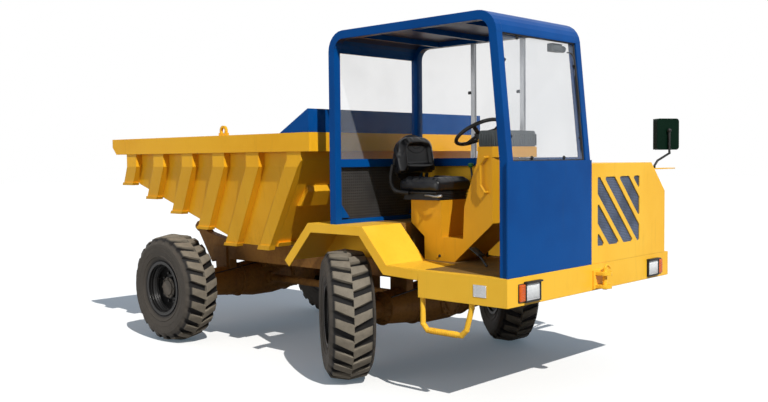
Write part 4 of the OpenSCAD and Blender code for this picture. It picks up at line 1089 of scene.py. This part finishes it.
def make_hood_fittings():
    """Louvres on the side door, filler cap, mirror's shelf and the seat box's bolt."""
    louvres = []
    for k in range(7):
        x = 1.0 + k * 0.048
        fin = slab(spot(x, 1.0485, 1.02), spot(x + 0.034, 1.058, 1.30))
        choose(fin, LEFT)
        bpy.ops.transform.translate(value=(0.012, 0, 0))
        bpy.ops.object.mode_set(mode="OBJECT")
        louvres.append(eased(fin, 0.003))
    fit(louvres, "door_louvres", yellow_paint, "hood_door")
    cap = rod((0.55, 0.35, 1.6385), (0.55, 0.35, 1.668), 0.045, 32)
    eased(recessed(cap, UP, 0.012, 0.008), 0.004)
    fit([cap], "filler_cap", black_plastic)
    shelf = slab(spot(1.466, 0.905, 1.5825), spot(1.534, 1.284, 1.5915))
    eased(recessed(shelf, -UP, 0.004, -0.002), 0.002)
    fit([shelf], "mirror_shelf", yellow_paint)
    bolt = repeated(hex_head(0.0080, 0.010), [(spot(0.547, -0.57, 0.950), (0, -1, 0))])
    fit([bolt], "seat_box_bolt", black_plastic)


def make_axle_fittings():
    """Bolted covers on both axle casings, and ring flanges along them."""
    made = []
    for x, side in ((0.0, 1), (-WHEELBASE, -1)):
        inner, outer = x + side * 0.150, x + side * 0.192
        cover = rod((inner, 0, HUB_Z), (outer, 0, HUB_Z), 0.125, 40)
        made.append(eased(recessed(cover, AHEAD * side, 0.045, 0.016), 0.006, 3))
        face = spot(x + side * 0.1915, 0, HUB_Z)
        places = circle(face, (side, 0, 0), LEFT, 0.105, 30)
        made.append(repeated(hex_head(0.0085, 0.011), places))
    for x in (0.0, -WHEELBASE):
        for y in (-0.30, 0.30):
            made.append(hoop(spot(x, y, HUB_Z), LEFT, 0.156, 0.013, 48))
            made.append(hoop(spot(x, y * 1.12, HUB_Z), LEFT, 0.150, 0.008, 48))
        for side in (-1, 1):
            y = side * 0.655
            made.append(hoop(spot(x, y * 0.985, HUB_Z), LEFT, 0.124, 0.011, 48))
            places = circle(spot(x, y, HUB_Z), (0, side, 0), AHEAD, 0.112, 30)
            made.append(repeated(hex_head(0.0080, 0.014), places))
    fit(made, "axle_covers", frame_paint_dirt_and_shade)


def make_pipes():
    """Rigid pipes along the right rail, and over both axle casings."""
    rail = (
        (0.45, 0.845),
        (0.30, 0.845),
        (-0.70, 0.845),
        (-1.20, 0.830),
        (-1.95, 0.790),
    )
    pipes = []
    for k in range(2):
        y = -0.352 + k * 0.016
        pipes.append(tube([(x, y, z - 0.02 * k) for x, z in rail], 0.0060))
    # The casing's radius at distances from the middle; the pipe lies off its top.
    casing = (
        (0.62, 0.128),
        (0.50, 0.138),
        (0.30, 0.156),
        (0.20, 0.169),
        (0.12, 0.180),
        (0.03, 0.180),
    )
    off = 0.09
    line = [(y, HUB_Z + 0.004 + math.sqrt(r * r - off * off)) for y, r in casing]
    for x in (0.0, -WHEELBASE):
        for side in (-1, 1):
            pipes.append(tube([(x + off, side * y, z) for y, z in line], 0.0055))
    fit(pipes, "rail_pipes", black_plastic)


for place in ("front_right", "front_left", "rear_right", "rear_left"):
    wheel = Wheel(place)
    make_tyre(wheel)
    make_hub(wheel)
make_lamp_frames()
make_lenses()
make_screen_fittings()
make_cab_trim()
make_pane_catches()
make_seat_pads()
make_seat_shell()
make_instruments()
make_levers()
make_pedals()
make_bumper_fittings()
make_mirror_face()
make_hood_fittings()
make_axle_fittings()
make_pipes()


CAMERA_PLACE = (5.7188, -5.7829, 1.6948)
CAMERA_TURN, CAMERA_DIP, CAMERA_LEAN = 43.502, 2.7435, -0.5447
CAMERA_LENS = 42.26

# Lamps: strength, width in degrees, colour, direction towards the lamp.
LAMPS = {
    "sun": (3.85, 0.4, (1.0, 0.97, 0.92), (0.99, -0.39, 1.0)),
    "side_fill": (0.75, 30.0, (1.0, 0.98, 0.95), (-0.15, -1.0, 0.10)),
}
WHITE = (1.0, 1.0, 1.0, 1.0)
BLACK = (0.0, 0.0, 0.0, 1.0)
SKY_LIGHT = (0.20, 0.225, 0.265, 1.0)
FLOOR_LOW = (0.94, 0.94, 0.94, 1.0)
FLOOR_HIGH = (0.96, 0.96, 0.96, 1.0)
FLOOR_BOUNCE = (0.20, 0.19, 0.18, 1.0)
FLOOR_GLOW = (0.06, 0.085, 0.105, 1.0)


def make_camera():
    data = bpy.data.cameras.new("camera")
    data.sensor_fit = "HORIZONTAL"
    data.sensor_width = 36.0
    data.lens = CAMERA_LENS
    camera = bpy.data.objects.new("camera", data)
    bpy.context.scene.collection.objects.link(camera)
    turn = math.radians(CAMERA_TURN)
    dip = math.radians(CAMERA_DIP)
    lean = math.radians(CAMERA_LEAN)
    level = Vector((math.cos(turn), math.sin(turn), 0.0))
    forward = Vector((-math.sin(turn), math.cos(turn), 0.0))
    ahead = forward * math.cos(dip) - UP * math.sin(dip)
    over = level.cross(ahead)
    right = level * math.cos(lean) + over * math.sin(lean)
    over = over * math.cos(lean) - level * math.sin(lean)
    axes = Matrix((right, over, -ahead)).transposed().to_4x4()
    camera.matrix_world = Matrix.Translation(CAMERA_PLACE) @ axes
    bpy.context.scene.camera = camera


def rays(tree, *kinds):
    """1 for the named kinds of ray, and 0 for all others."""
    path = tree.nodes.new("ShaderNodeLightPath")
    wires = [Wire(tree, path.outputs[kind]) for kind in kinds]
    return sum(wires[1:], wires[0]).clamped()


def make_light():
    """Two suns, and a sky that is white to look at but lights at a plain level."""
    for name, (strength, width, colour, towards) in LAMPS.items():
        sun = bpy.data.lights.new(name, "SUN")
        sun.energy = strength
        sun.angle = math.radians(width)
        sun.color = colour
        lamp = bpy.data.objects.new(name, sun)
        bpy.context.scene.collection.objects.link(lamp)
        lamp.rotation_mode = "QUATERNION"
        lamp.rotation_quaternion = Vector(towards).to_track_quat("Z", "Y")
    world = bpy.data.worlds.new("sky")
    bpy.context.scene.world = world
    world.use_nodes = True
    tree = world.node_tree
    sky = tree.nodes["Background"]
    seen = rays(tree, "Is Camera Ray", "Is Glossy Ray", "Is Transmission Ray")
    tree.links.new(seen.blend(SKY_LIGHT, WHITE).socket, sky.inputs["Color"])
    sky.inputs["Strength"].default_value = 1.0


def make_floor():
    """Pale floor that keeps the shadow. It is dull to bounced light, and glows faintly
    for the camera alone, so that the shadow isn't black.
    """
    bpy.ops.object.select_all(action="DESELECT")
    bpy.ops.mesh.primitive_grid_add(x_subdivisions=4, y_subdivisions=4, size=120.0)
    floor = bpy.context.object
    floor.name = "floor"
    f = Finish("pale_floor")
    pale = f.noise(0.4, 2.0).blend(FLOOR_LOW, FLOOR_HIGH)
    floor.data.materials.append(
        f.set(
            Base_Color=rays(f.tree, "Is Diffuse Ray").blend(pale, FLOOR_BOUNCE),
            Emission_Color=rays(f.tree, "Is Camera Ray").blend(BLACK, FLOOR_GLOW),
            Emission_Strength=1.0,
            Roughness=0.9,
            Specular_IOR_Level=0.0,
        )
    )


make_camera()
make_light()
make_floor()
bpy.context.scene.view_settings.view_transform = "Standard"
